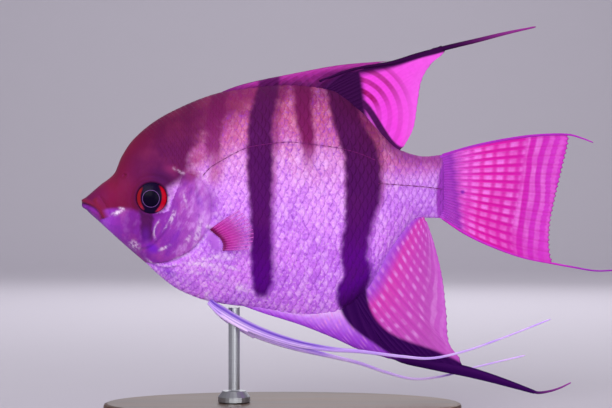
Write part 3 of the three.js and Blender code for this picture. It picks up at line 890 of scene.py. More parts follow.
class Nodes:
    """A material's nodes, with places on the object and the marks of its piece at hand."""

    def __init__(self, tree: bpy.types.NodeTree, marks: Sequence[str]) -> None:
        """Empties the tree and reads the places and marks.

        Args:
            tree: The material's tree.
            marks: Names of the marks that the finish needs.
        """
        self.tree = tree
        tree.nodes.clear()
        self.at = self("TexCoord", out="Object")
        self.mark = {key: self("Attribute", attribute_name=key, out="Fac") for key in marks}

    def __call__(self, kind: str, inputs: Mapping | Sequence = (), out: int | str = 0, stops: Stops = (),
                 **settings: object) -> Socket:
        """Adds one node with its settings, values and links.

        Args:
            kind: The node's type, without its ShaderNode prefix.
            inputs: A value, a hex colour or another node's socket for each input, by name or in order.
            out: Which output to hand back.
            stops: Places and hex colours of a colour ramp.
            settings: Properties of the node itself.

        Returns:
            The output socket, or the node's first input where it has no output.
        """
        made = self.tree.nodes.new("ShaderNode" + kind)
        for key, value in settings.items():
            setattr(made, key, value)
        for key, value in inputs.items() if isinstance(inputs, Mapping) else enumerate(inputs):
            if isinstance(value, Socket):
                self.tree.links.new(value, made.inputs[key])
            else:
                made.inputs[key].default_value = linear(value) if isinstance(value, str) else value
        for i, (place, colour) in enumerate(stops):
            ramp = made.color_ramp.elements
            stop = ramp[i] if i < 2 else ramp.new(place)
            stop.position = place
            stop.color = linear(colour)
        return made.outputs[out] if made.outputs else made.inputs[0]

    def wash(self, colour: Socket | str, *washes: tuple) -> Socket:
        """Lays washes over a colour, one after another.

        Args:
            colour: The ground.
            washes: What drives each, where it starts and is full, its full strength and its colour.

        Returns:
            The washed colour.
        """
        for value, start, full, strength, paint in washes:
            amount = self("MapRange", (value, start, full, 0, strength))
            colour = self("MixRGB", (amount, colour, paint))
        return colour


class Finish:
    """A surface finish, which says what feeds its shader."""

    name: str
    READS: tuple[str, ...] = ()  # the piece's marks that it needs

    def surface(self, add: Nodes) -> Inputs:
        """What feeds the shader: a value, a hex colour or a socket for each of its inputs."""
        raise NotImplementedError

    def made(self) -> Material:
        """Builds the material.

        Returns:
            The finished material.
        """
        material = bpy.data.materials.new(self.name)
        material.use_nodes = True
        add = Nodes(material.node_tree, self.READS)
        add("OutputMaterial", (add("BsdfPrincipled", self.surface(add)),))
        return material


@dataclass(frozen=True)
class FishPaint(Finish):
    """Cast resin, airbrushed in thin pearl washes under satin varnish: soft depth, wet-looking light."""

    name: str
    roughness: float
    pearl: float  # how far single scales or patches differ in tone
    on_scales: bool
    # pearl washes from belly to back
    flank: Stops = (
        (0.0, "#DE80FF"), (0.19, "#E284FF"), (0.36, "#E28CFF"), (0.54, "#E698FA"), (0.67, "#E498E2"),
        (0.76, "#CC66AC"), (0.84, "#BC5284"), (0.92, "#A03870"), (1.0, "#80245C"),
    )
    # the head's lower half, from chin to gill cover
    face: Stops = (
        (0.0, "#6E2286"), (0.02, "#782490"), (0.035, "#842AA2"), (0.052, "#9236C0"), (0.07, "#A03CCC"),
        (0.10, "#9634B0"), (0.145, "#7E2690"), (0.2, "#8628A0"), (0.25, "#9438AE"), (0.30, "#A84EB8"),
        (0.35, "#C476E0"),
    )
    # the dark hood, from the snout back over the forehead
    hood: Stops = (
        (0.0, "#601848"), (0.04, "#74194C"), (0.08, "#82183E"), (0.12, "#7E1838"), (0.16, "#6C1638"),
        (0.22, "#5C143A"), (0.3, "#60163E"), (0.4, "#781A52"), (0.5, "#842060"), (0.75, "#882264"),
        (1.0, "#8A2478"),
    )
    # the dark bars, from belly to back
    bars: Stops = (
        (0.0, "#300448"), (0.05, "#460668"), (0.1, "#560684"), (0.22, "#5A0880"), (0.4, "#520C64"),
        (0.55, "#4C0F54"), (0.75, "#4C1046"), (1.0, "#4E123E"),
    )
    # the weaker bars and the black bars' borders, from belly to back
    blush: Stops = (
        (0.0, "#8A2CC0"), (0.4, "#8E2CA4"), (0.6, "#98287E"), (0.75, "#7A1C54"), (1.0, "#641646"),
    )

    READS = ("along", "height", "hood", "face", "bar", "faint", "violet", "line", "lip", "shade", "silver",
             "lobe", "tail_bar", "rosy", "tone", "edge", "core", "nick")

    def surface(self, add: Nodes) -> Inputs:
        """Washes over flank, face, hood and bars, each laid on where its mark is, painted highlights,
        glints and shade among them.

        Args:
            add: The material's nodes.

        Returns:
            The shader's inputs.
        """
        mark = add.mark
        blotch, grain, wide, cloud, fine = (
            add("TexNoise", {"Vector": add.at, "Scale": 1 / size, "Detail": detail, "Roughness": rough})
            for size, detail, rough in (
                (0.006, 3, 0.6), (0.0011, 2, 0.65), (0.017, 2, 0.5), (0.0026, 3, 0.7), (0.0008, 2, 0.6)))
        flank, face, hood, bars, blush = (
            add("ValToRGB", (mark[way],), stops=stops) for way, stops in (
                ("height", self.flank), ("along", self.face), ("along", self.hood), ("height", self.bars),
                ("height", self.blush)))
        warm = add("MapRange", (mark["height"], 0.48, 0.85, 0, 0.6))
        cool = add("MapRange", (mark["height"], 0.75, 0.25, 0, 0.5))
        # painted highlights and glints are weaker towards the back
        pearl, glitter, glow = (
            add("MapRange", (mark["height"], 0.6, 0.8, most, 0.35 * most))
            for most in (self.pearl, 0.55, 0.42))
        own = mark["tone"] if self.on_scales else grain
        tone = add("Math", (own, 0.3, cloud), operation="MULTIPLY_ADD")
        colour = add.wash(
            flank,
            (blotch, 0.42, 0.68, warm, "#D4707E"),  # salmon flecks over the upper flank
            (wide, 0.45, 0.7, cool, "#A85CEC"),  # blue-violet ones over the lower
            # painted highlight: patches of a scale or two lit pale
            (tone, 0.66, 0.9, pearl, "#F8C8FF"),  # light on patches of a scale or two
            (tone, 0.62, 0.4, self.pearl, "#A850CC"),
            # painted glints: the finer light flecks
            (fine, 0.54, 0.7, glitter, "#FFD4FF"),  # finer flecks
            (fine, 0.46, 0.32, 0.6, "#9444CC"),
            (mark["along"], 0.8, 0.9, 0.4, "#B468DC"),
        )
        # painted sheen: light streaks run steeply down and forward over the gill cover, stronger towards
        # its rear, with darker streaks between
        slope = add("Mapping", {"Vector": add.at, "Rotation": (0.0, math.radians(-64), 0.0),
                                "Scale": (0.0058, 0.004, 0.0029)}, vector_type="TEXTURE")
        brushed = add("TexNoise", {"Vector": slope, "Scale": 1.0, "Detail": 3.0, "Roughness": 0.65})
        rear = add("MapRange", (mark["along"], 0.2, 0.32, 0.1, 0.75))
        face = add.wash(
            face, (brushed, 0.5, 0.66, rear, "#E0A0F2"), (brushed, 0.47, 0.34, 0.6, "#8230A8"),
            (blotch, 0.52, 0.66, 0.4, "#B44A9C"))
        hood, bars = (
            add.wash(ground, (blotch, 0.45, 0.7, 0.4, light), (wide, 0.52, 0.36, 0.4, dark))
            for ground, light, dark in ((hood, "#822A48", "#54143C"), (bars, "#561654", "#3C0A40")))
        # painted highlights on the silvery skin and the cheek's ridges, broken by fine noise, beside the
        # rosy shoulder's own colour
        rosy, silver = (
            add("Math", (mark[key], add("MapRange", (speck, low, high, least))), operation="MULTIPLY")
            for key, speck, low, high, least in (
                ("rosy", cloud, 0.35, 0.6, 0.55), ("silver", grain, 0.4, 0.56, 0.15)))
        # among these washes, the ring round the eye and the lines in the gill's slit and the mouth's crease
        # are painted shade, and the near-white wash is a painted highlight
        for mask, paint in (
                (mark["face"], face), (mark["hood"], hood), (rosy, "#A63468"), (mark["shade"], "#46123E"),
                (mark["faint"], blush), (mark["violet"], "#7A22C4"), (mark["lobe"], "#B866DC"),
                (mark["bar"], bars), (mark["tail_bar"], "#A03CBC"), (mark["lip"], "#82203A"),
                (silver, "#FCE0FF"), (mark["line"], "#4A1844")):
            colour = add("MixRGB", (mask, colour, paint))
        if self.on_scales:
            colour = self.scaly(add, colour, tone, glow)
        gloss = add("MapRange", (grain, 0, 1, self.roughness - 0.08, self.roughness + 0.14))
        bump = add("Bump", {"Height": grain, "Strength": 0.35, "Distance": 0.00012})
        return {"Base Color": colour, "Roughness": gloss, "Normal": bump, "IOR": 1.4,
                "Specular IOR Level": 0.42, "Specular Tint": "#A848F0"}

    def scaly(self, add: Nodes, colour: Socket, tone: Socket, glow: Socket) -> Socket:
        """Gives each scale a dark hind edge, a painted highlight in its middle and a nick of shade, away
        from the dark marks.

        Args:
            add: The material's nodes.
            colour: The colour so far.
            tone: The scale's own tone.
            glow: How bright the brightest painted highlights in the scales' middles are.

        Returns:
            The colour with the scales' own shades.
        """
        mark = add.mark
        dark = mark["bar"]
        for key in ("hood", "face", "faint", "rosy", "tail_bar"):
            dark = add("Math", (dark, mark[key]), operation="MAXIMUM")
        rim, nick, middle = (add("MapRange", (dark, 0, 0.7, most, 0.0)) for most in (0.28, 1.0, glow))
        middle = add("MapRange", (tone, 0.52, 0.86, 0, middle))
        # the core's pale wash is a painted highlight, and it fades where the marks are dark
        for key, most, paint, blend in (
                ("edge", rim, "#D090D8", "MULTIPLY"), ("core", middle, "#F4C0FF", "MIX"),
                ("nick", nick, "#A448DC", "MIX")):
            amount = add("Math", (mark[key], most), operation="MULTIPLY")
            colour = add("MixRGB", (amount, colour, paint), blend_type=blend)
        return colour


@dataclass(frozen=True)
class FinPaint(Finish):
    """Thin cast resin film over moulded rays, airbrushed and varnished: light passes all but the rays."""

    name: str
    ground: Stops  # from the root to the free edge
    spot: str
    ray: str
    dark: str
    ray_strength: float = 0.45
    wander: float = 0.5  # how far spots and stripes stray, in their own spacing
    patchy: float = 0.4  # how much weaker the pattern gets here and there
    film: float = 0.62  # how solid the film is where it is thinnest
    strip: tuple[float, float] = (-0.75, 0.35)  # where across a ray's field its spots fade in
    bead: tuple[float, float] = (-0.9, 0.3)  # the same along it
    band: tuple[float, float] = (-0.35, 0.55)  # where along the rays its stripes fade in
    roughness: float = 0.38

    READS = FIN_MARKS

    def surface(self, add: Nodes) -> Inputs:
        """Spots between the rays and stripes across them, then the rays and what is dark.

        Args:
            add: The material's nodes.

        Returns:
            The shader's inputs.
        """
        mark = add.mark
        wobble, patch, grain = (
            add("TexNoise", {"Vector": add.at, "Scale": 1 / size, "Detail": detail})
            for size, detail in ((0.007, 2), (0.004, 1), (0.0012, 2)))
        shift = add("Math", (wobble, self.wander, mark["run"]), operation="MULTIPLY_ADD")
        across, along = (
            add("Math", (add("Math", (cycles, math.tau), operation="MULTIPLY"),), operation=wave)
            for cycles, wave in ((mark["row"], "COSINE"), (shift, "SINE")))
        strip = add("MapRange", (across, *self.strip, 0, mark["spots"]))
        beads = add("MapRange", (along, *self.bead, 0.2))
        spots = add("Math", (beads, strip), operation="MULTIPLY")
        bands = add("MapRange", (along, *self.band, 0, mark["stripes"]))
        pattern = add("Math", (spots, bands), operation="MAXIMUM")
        weak = add("MapRange", (patch, 0.34, 0.6, 1 - self.patchy, 1.0))
        pattern = add("Math", (pattern, weak), operation="MULTIPLY")
        tint = add("MapRange", (grain, 0.4, 0.7, 0, 0.2))
        line = add("MapRange", (across, -0.7, -1.0, 0, self.ray_strength))
        colour = add("ValToRGB", (mark["reach"],), stops=self.ground)
        for mask, paint in (
                (pattern, self.spot), (tint, self.ray), (line, self.ray), (mark["dark"], self.dark)):
            colour = add("MixRGB", (mask, colour, paint))
        solid = line
        for key in ("dark", "film"):
            solid = add("Math", (solid, mark[key]), operation="MAXIMUM")
        alpha = add("MapRange", (solid, 0, 1, self.film, 1.0))
        bump = add("Bump", {"Height": grain, "Strength": 0.3, "Distance": 0.0001})
        return {"Base Color": colour, "Alpha": alpha, "Roughness": self.roughness, "Normal": bump,
                "IOR": 1.4, "Specular IOR Level": 0.35, "Specular Tint": "#C850E8"}


@dataclass(frozen=True)
class PelvicPaint(Finish):
    """Cast resin rays, pearl white over violet under satin varnish: milky strands with shaded grooves."""

    name: str = "pelvic_rays_pearl_resin"
    pale: str = "#D2A8FF"
    bright: str = "#ECCCFF"
    shade: str = "#5C30B4"
    roughness: float = 0.32

    READS = ("upper", "groove")

    def surface(self, add: Nodes) -> Inputs:
        """Soft clouds of pearl, with shade in the grooves and on the root's upper side.

        Args:
            add: The material's nodes.

        Returns:
            The shader's inputs.
        """
        grain, cloud = (
            add("TexNoise", {"Vector": add.at, "Scale": 1 / size, "Detail": 2}) for size in (0.0014, 0.008))
        colour = add.wash(self.pale, (cloud, 0.35, 0.65, 1.0, self.bright))
        shade = add("Math", (add.mark["upper"], add.mark["groove"]), operation="MAXIMUM")
        colour = add("MixRGB", (shade, colour, self.shade))
        bump = add("Bump", {"Height": grain, "Strength": 0.3, "Distance": 0.0001})
        return {"Base Color": colour, "Roughness": self.roughness, "Normal": bump, "IOR": 1.45,
                "Specular IOR Level": 0.4, "Specular Tint": "#D0A0FF"}


@dataclass(frozen=True)
class GlassEye(Finish):
    """A glass eye painted from behind: the painted rings lie under one clear, polished dome."""

    name: str = "painted_glass_eye"
    pupil: str = "#0A021C"
    ring: str = "#8C5AA8"
    violet: str = "#16062A"
    red: str = "#BE0024"
    wine: str = "#8C1622"
    pink: str = "#C83466"
    pupil_middle: tuple[float, float, float] = (-0.2, -0.2, 0)  # the pupil sits a little ahead of the iris
    pupil_radius: float = 2.25
    iris_radius: float = 4.1
    # two crescents: a thick one behind the pupil and a thinner one ahead of it. Each is the iris outside a
    # circle whose middle is off to the other side: that middle, its radius and half of the angle it covers
    crescents: tuple[tuple[tuple[float, float, float], float, float], ...] = (
        ((-2.2, 0.32, 0), 5.05, 1.12), ((1.9, 0.12, 0), 5.0, 0.86))
    soft: float = 0.16  # over this the crescents' edges blend

    READS = ("iris_x", "iris_z")

    def surface(self, add: Nodes) -> Inputs:
        """A dark iris with two red crescents, and a fine ring round the black pupil.

        Args:
            add: The material's nodes.

        Returns:
            The shader's inputs.
        """
        mark = add.mark
        iris = add("CombineXYZ", {"X": mark["iris_x"], "Y": mark["iris_z"]})
        out, away = (
            add("VectorMath", (iris, middle), out="Value", operation="DISTANCE")
            for middle in ((0, 0, 0), self.pupil_middle))
        facing = add("VectorMath", (iris,), operation="NORMALIZE")
        crescents = []
        for middle, radius, half in self.crescents:
            off = add("VectorMath", (iris, middle), out="Value", operation="DISTANCE")
            own = -Vector(middle).normalized()
            toward = add("VectorMath", (facing, own), out="Value", operation="DOT_PRODUCT")
            ends = add("MapRange", (toward, math.cos(half + 0.12), math.cos(half - 0.2)))
            crescents.append(add("MapRange", (off, radius - self.soft, radius + self.soft, 0, ends)))
        both = add("Math", crescents, operation="MAXIMUM")
        both = add("MapRange", (out, self.iris_radius + 0.1, self.iris_radius - 0.12, 0, both))
        fibre = add("TexNoise", {"Vector": add.at, "Scale": 1 / 0.0006, "Detail": 3.0})
        red = add.wash(
            self.red, (mark["iris_x"], 0.5, -0.5, 1.0, self.wine),
            (mark["iris_z"], -1.6, -3.4, 0.7, self.pink), (fibre, 0.45, 0.7, 0.35, "#90061E"))
        colour = add("MixRGB", (both, self.violet, red))
        near = add("Math", (away, self.pupil_radius + 0.09), operation="SUBTRACT")
        near = add("Math", (near,), operation="ABSOLUTE")
        colour = add.wash(
            colour, (away, self.pupil_radius + 0.05, self.pupil_radius - 0.05, 1.0, self.pupil),
            (near, 0.1, 0.03, 0.7, self.ring))
        return {"Base Color": colour, "Roughness": 0.3, "IOR": 1.35, "Specular IOR Level": 0.05,
                "Coat Weight": 0.045, "Coat Roughness": 0.03, "Coat IOR": 1.3}


@dataclass(frozen=True)
class OiledWalnut(Finish):
    """Walnut, planed and rubbed with oil: long dark grain with a low, warm gloss."""

    name: str = "oiled_walnut"
    light: str = "#6B4A35"
    dark: str = "#33211A"
    pore: str = "#1E120D"

    def surface(self, add: Nodes) -> Inputs:
        """Long figure, finer grain and short dark pores.

        Args:
            add: The material's nodes.

        Returns:
            The shader's inputs.
        """
        along = add("Mapping", {"Vector": add.at, "Scale": (0.08, 1, 0.6)})
        drift, grain, pores = (
            add("TexNoise", {"Vector": along, "Scale": 1 / size, "Detail": detail, "Roughness": rough,
                             "Distortion": bent})
            for size, detail, rough, bent in (
                (0.012, 3, 0.5, 0), (0.0022, 5, 0.65, 0.6), (0.0005, 2, 0.5, 0)))
        tone = add("Math", (drift, grain), operation="ADD")
        colour = add.wash(
            self.dark, (tone, 0.72, 1.28, 1.0, self.light), (pores, 0.62, 0.75, 0.6, self.pore))
        rough = add("MapRange", (grain, 0, 1, 0.34, 0.55))
        bump = add("Bump", {"Height": pores, "Strength": 0.25, "Distance": 0.0001})
        return {"Base Color": colour, "Roughness": rough, "Normal": bump, "IOR": 1.5, "Coat Weight": 0.15,
                "Coat Roughness": 0.3}


@dataclass(frozen=True)
class BrushedSteel(Finish):
    """Stainless steel, turned and brushed: fine rings round the rod soften its highlight."""

    name: str = "brushed_stainless_steel"
    colour: str = "#B9BCC0"
    shade: str = "#8D9096"
    line: float = 0.00035  # brushing drawn coarser than its real 0.05 mm, so that it shows

    def surface(self, add: Nodes) -> Inputs:
        """Fine brushed rings.

        Args:
            add: The material's nodes.

        Returns:
            The shader's inputs.
        """
        rings = add("Mapping", {"Vector": add.at, "Scale": (0.05, 0.05, 1)})
        brush = add("TexNoise", {"Vector": rings, "Scale": 1 / self.line, "Detail": 2.0})
        rough = add("MapRange", (brush, 0, 1, 0.22, 0.42))
        colour = add.wash(self.colour, (brush, 0.3, 0.7, 0.25, self.shade))
        bump = add("Bump", {"Height": brush, "Strength": 0.2, "Distance": 0.00005})
        return {"Base Color": colour, "Metallic": 1.0, "Roughness": rough, "Normal": bump}


@dataclass(frozen=True)
class StudioPaper(Finish):
    """Seamless studio paper: plain, matt and pale."""

    name: str = "studio_paper"
    colour: str = "#BDB8C4"
    cloud: str = "#ABA6B2"

    def surface(self, add: Nodes) -> Inputs:
        """Faint clouds in plain paper."""
        fibre = add("TexNoise", {"Vector": add.at, "Scale": 1 / 0.02, "Detail": 2.0})
        return {"Base Color": add.wash(self.colour, (fibre, 0, 1, 0.06, self.cloud)), "Roughness": 0.9}


# ---------------------------------------------------------------- skin and scales


@dataclass(frozen=True)
class Skin:
    """One skin over head, jaw, gill covers, trunk and tail stem."""

    columns: int = 318
    rows: int = 304
    head_share: float = 0.52  # share of the columns that the head takes
    head_end: float = 39.0

    def stations(self, u: Array) -> Array:
        """Places along the fish for u: closer together on the head."""
        return np.interp(u, (0, self.head_share, 1), (0, self.head_end, BODY_END))

    def spots(self, u: Array, v: Array) -> tuple[Array, Array, Array]:
        """Place along the fish, share of the girth and side for each point of the grid."""
        return self.stations(u), *two_faces(v)

    def place(self, u: Array, v: Array) -> Array:
        """Points of the skin for the grid's u and v."""
        plain = FORM.on_flank(*self.spots(u, v))
        return plain + FORM.normal(*self.spots(u, v)) * RELIEF.height(plain[:, 0], plain[:, 2])[:, None]

    def masks(self, u: Array, v: Array) -> Masks:
        """Markings at the skin's points."""
        plain = FORM.on_flank(*self.spots(u, v))
        return MARKINGS.masks(plain[:, 0], plain[:, 2])

    def build(self, shop: Workshop) -> Object:
        """Makes the skin."""
        return shop.grid("skin", self.columns, self.rows, self.place, self.masks)


@dataclass(frozen=True)
class ScaleField:
    """Overlapping scales in staggered rows over one part of a flank."""

    name: str
    pitch: Profile  # distance from one scale to the next in its row, by x
    tall: float  # distance between rows, in pitches
    start: float
    end: float
    zone: Place  # where on the flank they grow
    lift: float = 0.11  # how far the hind edge stands off the skin, for a scale of full size
    full: float = 2.2  # pitch of a full-sized scale
    across: int = 10
    along: tuple[float, ...] = (0, 0.38, 0.62, 0.82, 1, 1)
    patch: float = 0.0015  # one pitch on the bake map
    seed: int = 5

    def roots(self) -> tuple[Array, Array]:
        """Middles of the scales that fall in the zone.

        Returns:
            Their places along the fish and their shares of the girth.
        """
        stations = [self.start]
        while stations[-1] < self.end:
            stations.append(stations[-1] + float(self.pitch(stations[-1])) / 2)
        found_x, found_share = [], []
        for k, x in enumerate(stations):
            girth, middle = float(FORM.girth(x)), float(FORM.middle(x))
            step = float(self.pitch(x)) * self.tall
            low, high = math.ceil(-middle * girth / step), math.floor((1 - middle) * girth / step)
            for j in range(low, high + 1):
                share = middle + j * step / girth
                if (j + k) % 2 == 0 and 0.3 * step / girth < share < 1 - 0.3 * step / girth:
                    found_x.append(x)
                    found_share.append(share)
        x, share = np.array(found_x), np.array(found_share)
        spots = FORM.on_flank(x, share, 1.0)
        keep = self.zone(spots[:, 0], spots[:, 2])
        return x[keep], share[keep]

    def template(self) -> tuple[Array, Array, Array, Masks]:
        """One scale in units of its pitch: backward, upward, lift, and its dark edge and the painted
        highlight in its middle.

        Returns:
            Three grids of one shape, and the marks by name.
        """
        b = np.sin(np.linspace(-math.pi / 2, math.pi / 2, self.across + 1))
        grid_a, grid_b = np.meshgrid(np.array(self.along), b, indexing="ij")
        hind = 0.12 + 0.5 * (1 - np.abs(grid_b) ** 2.3) ** 0.75
        back = -0.6 + (hind + 0.6) * grid_a
        lift = 0.02 + 0.98 * np.sin(grid_a * math.pi / 2) * (1 - 0.3 * grid_b**2)
        edge = smooth(0.36, 0.0, hind - back)
        # painted highlight: a pale oval where each scale's bared part catches the light
        core = hump(np.hypot((back - 0.2) / 0.3, grid_b / 0.42), 1.0)
        nick = hump(np.hypot((back - 0.2) / 0.26, (np.abs(grid_b) - 0.85) / 0.3), 1.0)
        lift[-1] = 0.0
        back[-1] += 0.01
        return back, grid_b * 1.03, lift, {"edge": edge, "core": core, "nick": nick}

    def faces(self, count: int) -> Array:
        """Corner indices of every quad of that many scales.

        Args:
            count: How many scales there are.

        Returns:
            An (N, 4) array.
        """
        wide, tall = self.across + 1, len(self.along)
        i, j = np.meshgrid(np.arange(tall - 1), np.arange(wide - 1), indexing="ij")
        first = (i * wide + j).ravel()
        quads = np.stack([first, first + 1, first + wide + 1, first + wide], axis=1)
        offsets = np.arange(count)[:, None, None] * wide * tall
        return (quads[None] + offsets).reshape(-1, 4)

    def build(self, shop: Workshop, side: Side) -> Object:
        """Makes one flank's scales.

        Args:
            shop: Makes the object.
            side: The flank.

        Returns:
            One piece with every scale of the field.
        """
        root_x, root_share = self.roots()
        rng = np.random.default_rng(self.seed + side.value)
        count = len(root_x)
        pitch = self.pitch(root_x)[:, None, None]
        back, up, lift, shades = self.template()
        turn = rng.normal(0, 0.04, count)[:, None, None]
        size = rng.uniform(0.96, 1.04, count)[:, None, None]
        x = root_x[:, None, None] + pitch * size * (back - turn * up)
        x = np.clip(x, 0.2, BODY_END - 0.05)
        rise = pitch * self.tall * size * (up + turn * back)
        share = np.clip(root_share[:, None, None] + rise / FORM.girth(x), 0.0, 1.0)
        sides = np.full(x.shape, float(side.value))
        points = FORM.on_flank(x, share, sides)
        relief = RELIEF.height(points[..., 0], points[..., 2])
        tilt = rng.uniform(0.85, 1.15, count)[:, None, None]
        centre = FORM.on_flank(root_x + 0.15 * self.pitch(root_x), root_share, 1.0)
        hooded = MARKINGS.masks(centre[:, 0], centre[:, 2])["hood"][:, None, None]
        height = relief + lift * self.lift * (1 - 0.6 * hooded) * tilt * pitch / self.full - 0.01
        marked = points.reshape(-1, 3)
        points = points + FORM.normal(x, share, sides) * height[..., None]
        mesh = bpy.data.meshes.new(self.name)
        quads = self.faces(count)
        mesh.from_pydata(shop.placement.to_row(points).reshape(-1, 3).tolist(), [], quads.tolist())
        each = x[0].size
        astray = np.repeat(rng.normal(0, 0.07, (2, count)), each, axis=1)
        marks = MARKINGS.masks(marked[:, 0] + astray[0], marked[:, 2] + astray[1])
        marks["tone"] = np.repeat(rng.uniform(0, 1, count), each)
        marks |= {key: np.tile(value.ravel(), count) for key, value in shades.items()}
        marks["nick"] *= np.repeat(rng.uniform(-0.8, 0.7, count).clip(0), each)
        shop.keep_masks(mesh, marks)
        # each scale takes a small patch of the bake map, at its root's place on the skin
        places = np.stack([root_x / BODY_END, root_share], axis=-1)[:, None] * 0.98 + 0.01
        patches = places + self.patch * np.stack([back.ravel(), up.ravel()], axis=-1)
        layer = mesh.uv_layers.new(name=BAKE_MAP)
        layer.data.foreach_set("uv", patches.reshape(-1, 2)[quads.ravel()].astype(np.float32).ravel())
        LOG.info("%s %s: %d scales", self.name, side.word, count)
        return shop.closed(f"{self.name}_{side.word}", mesh)


def body_zone(x: Array, z: Array) -> Array:
    """True where the body's scales grow: flanks, breast and nape, clear of the bare snout and brow.

    Args:
        x: Places along the fish.
        z: Their heights.

    Returns:
        The answer for each place.
    """
    brow_x, brow_z = 27, 8.4  # the bare brow's hind end, level with the gill cover's upper corner
    throat_z, gill_end, tail_end = -18, 37.5, 100.2
    gill, share = GILL_EDGE.measure(x, z)
    behind_gill = (gill > 0.5) & (share > 0.001) & (x > 17)
    over_gill = (z > brow_z) & (x > brow_x)
    nape = (z > brow_z + (brow_x - x) * 0.95) & (x > 13) & (EYE.away(x, z) > 6.8)
    under = (z < throat_z - 0.4) & (x > 21)
    ahead = (gill < 0.2) & (z < brow_z) & (z > throat_z) & (x < gill_end)
    return (behind_gill | over_gill | nape | under) & ~ahead & (x < tail_end) & (FIN_LOBE.mask(x, z) < 0.4)


def cover_zone(x: Array, z: Array) -> Array:
    """True on the gill cover and the cheek, clear of the eye and of the ridge between them.

    Args:
        x: Places along the fish.
        z: Their heights.

    Returns:
        The answer for each place.
    """
    gill, _ = GILL_EDGE.measure(x, z)
    ridge, _ = CHEEK_EDGE.measure(x, z)
    cover = (gill < -0.8) & (ridge > 0.9) & (x > 22) & (z < 5.0) & (z > -15)
    cheek = (ridge < -0.9) & (EYE.away(x, z) > 6.0) & (x > 18.5) & (z < -2.0) & (z > -10.5) & (x < 26)
    return cover | cheek


BODY_SCALES = ScaleField(
    "scales", Profile((12, 0.85), (24, 1.15), (36, 1.6), (48, 1.95), (62, 2.2), (84, 2.15), (101, 1.5)),
    tall=0.95, start=13, end=100.2, zone=body_zone)
FACE_SCALES = ScaleField(
    "face_scales", Profile((12, 0.9), (26, 1.15), (38, 1.4)), tall=0.95, start=14, end=37,
    zone=cover_zone, lift=0.06, seed=21)


# ---------------------------------------------------------------- eyes


@dataclass(frozen=True)
class EyeBall:
    """An eye: a low polished dome in front, a rounded back hidden in its socket."""

    side: Side
    rings: int = 40
    spokes: int = 96
    front_share: float = 0.7

    def place(self, u: Array, v: Array) -> Array:
        """Points of the eye: u runs round it, v from the front's middle over the rim to the back.

        Args:
            u: Places round the eye, from 0 to 1.
            v: Places from the front's middle over the rim to the back.

        Returns:
            An (N, 3) array.
        """
        turn = 2 * math.pi * u
        ahead = np.minimum(v / self.front_share, 1)
        behind = np.clip((v - self.front_share) / (1 - self.front_share), 0, 1)
        front = v < self.front_share
        radius = EYE.radius * np.where(front, np.sin(ahead * math.pi / 2), np.cos(behind * math.pi / 2))
        dome = EYE.rim + (EYE.front - EYE.rim) * (1 - (radius / EYE.radius) ** 2)
        rear = EYE.rim - (EYE.rim - EYE.depth) * np.sin(behind * math.pi / 2)
        out = self.side.value * np.where(front, dome, rear)
        return np.stack([EYE.x + radius * np.cos(turn), out, EYE.z + radius * np.sin(turn)], axis=-1)

    def masks(self, u: Array, v: Array) -> Masks:
        """Distances from the iris's middle, for the painted rings."""
        points = self.place(u, v)
        return {"iris_x": points[:, 0] - EYE.x, "iris_z": points[:, 2] - EYE.z}

    def build(self, shop: Workshop) -> Object:
        """Makes the eye."""
        return shop.grid(f"glass_eye_{self.side.word}", self.spokes, self.rings, self.place, self.masks)


# ---------------------------------------------------------------- fins


def fin_marks(like: Array, **given: Array | float) -> Masks:
    """Every mark that a fin's paint reads, nought unless it is given.

    Args:
        like: An array of the length wanted.
        given: The marks that aren't nought.

    Returns:
        One array for each mark's name.
    """
    return {name: np.zeros_like(like) + given.get(name, 0.0) for name in FIN_MARKS}


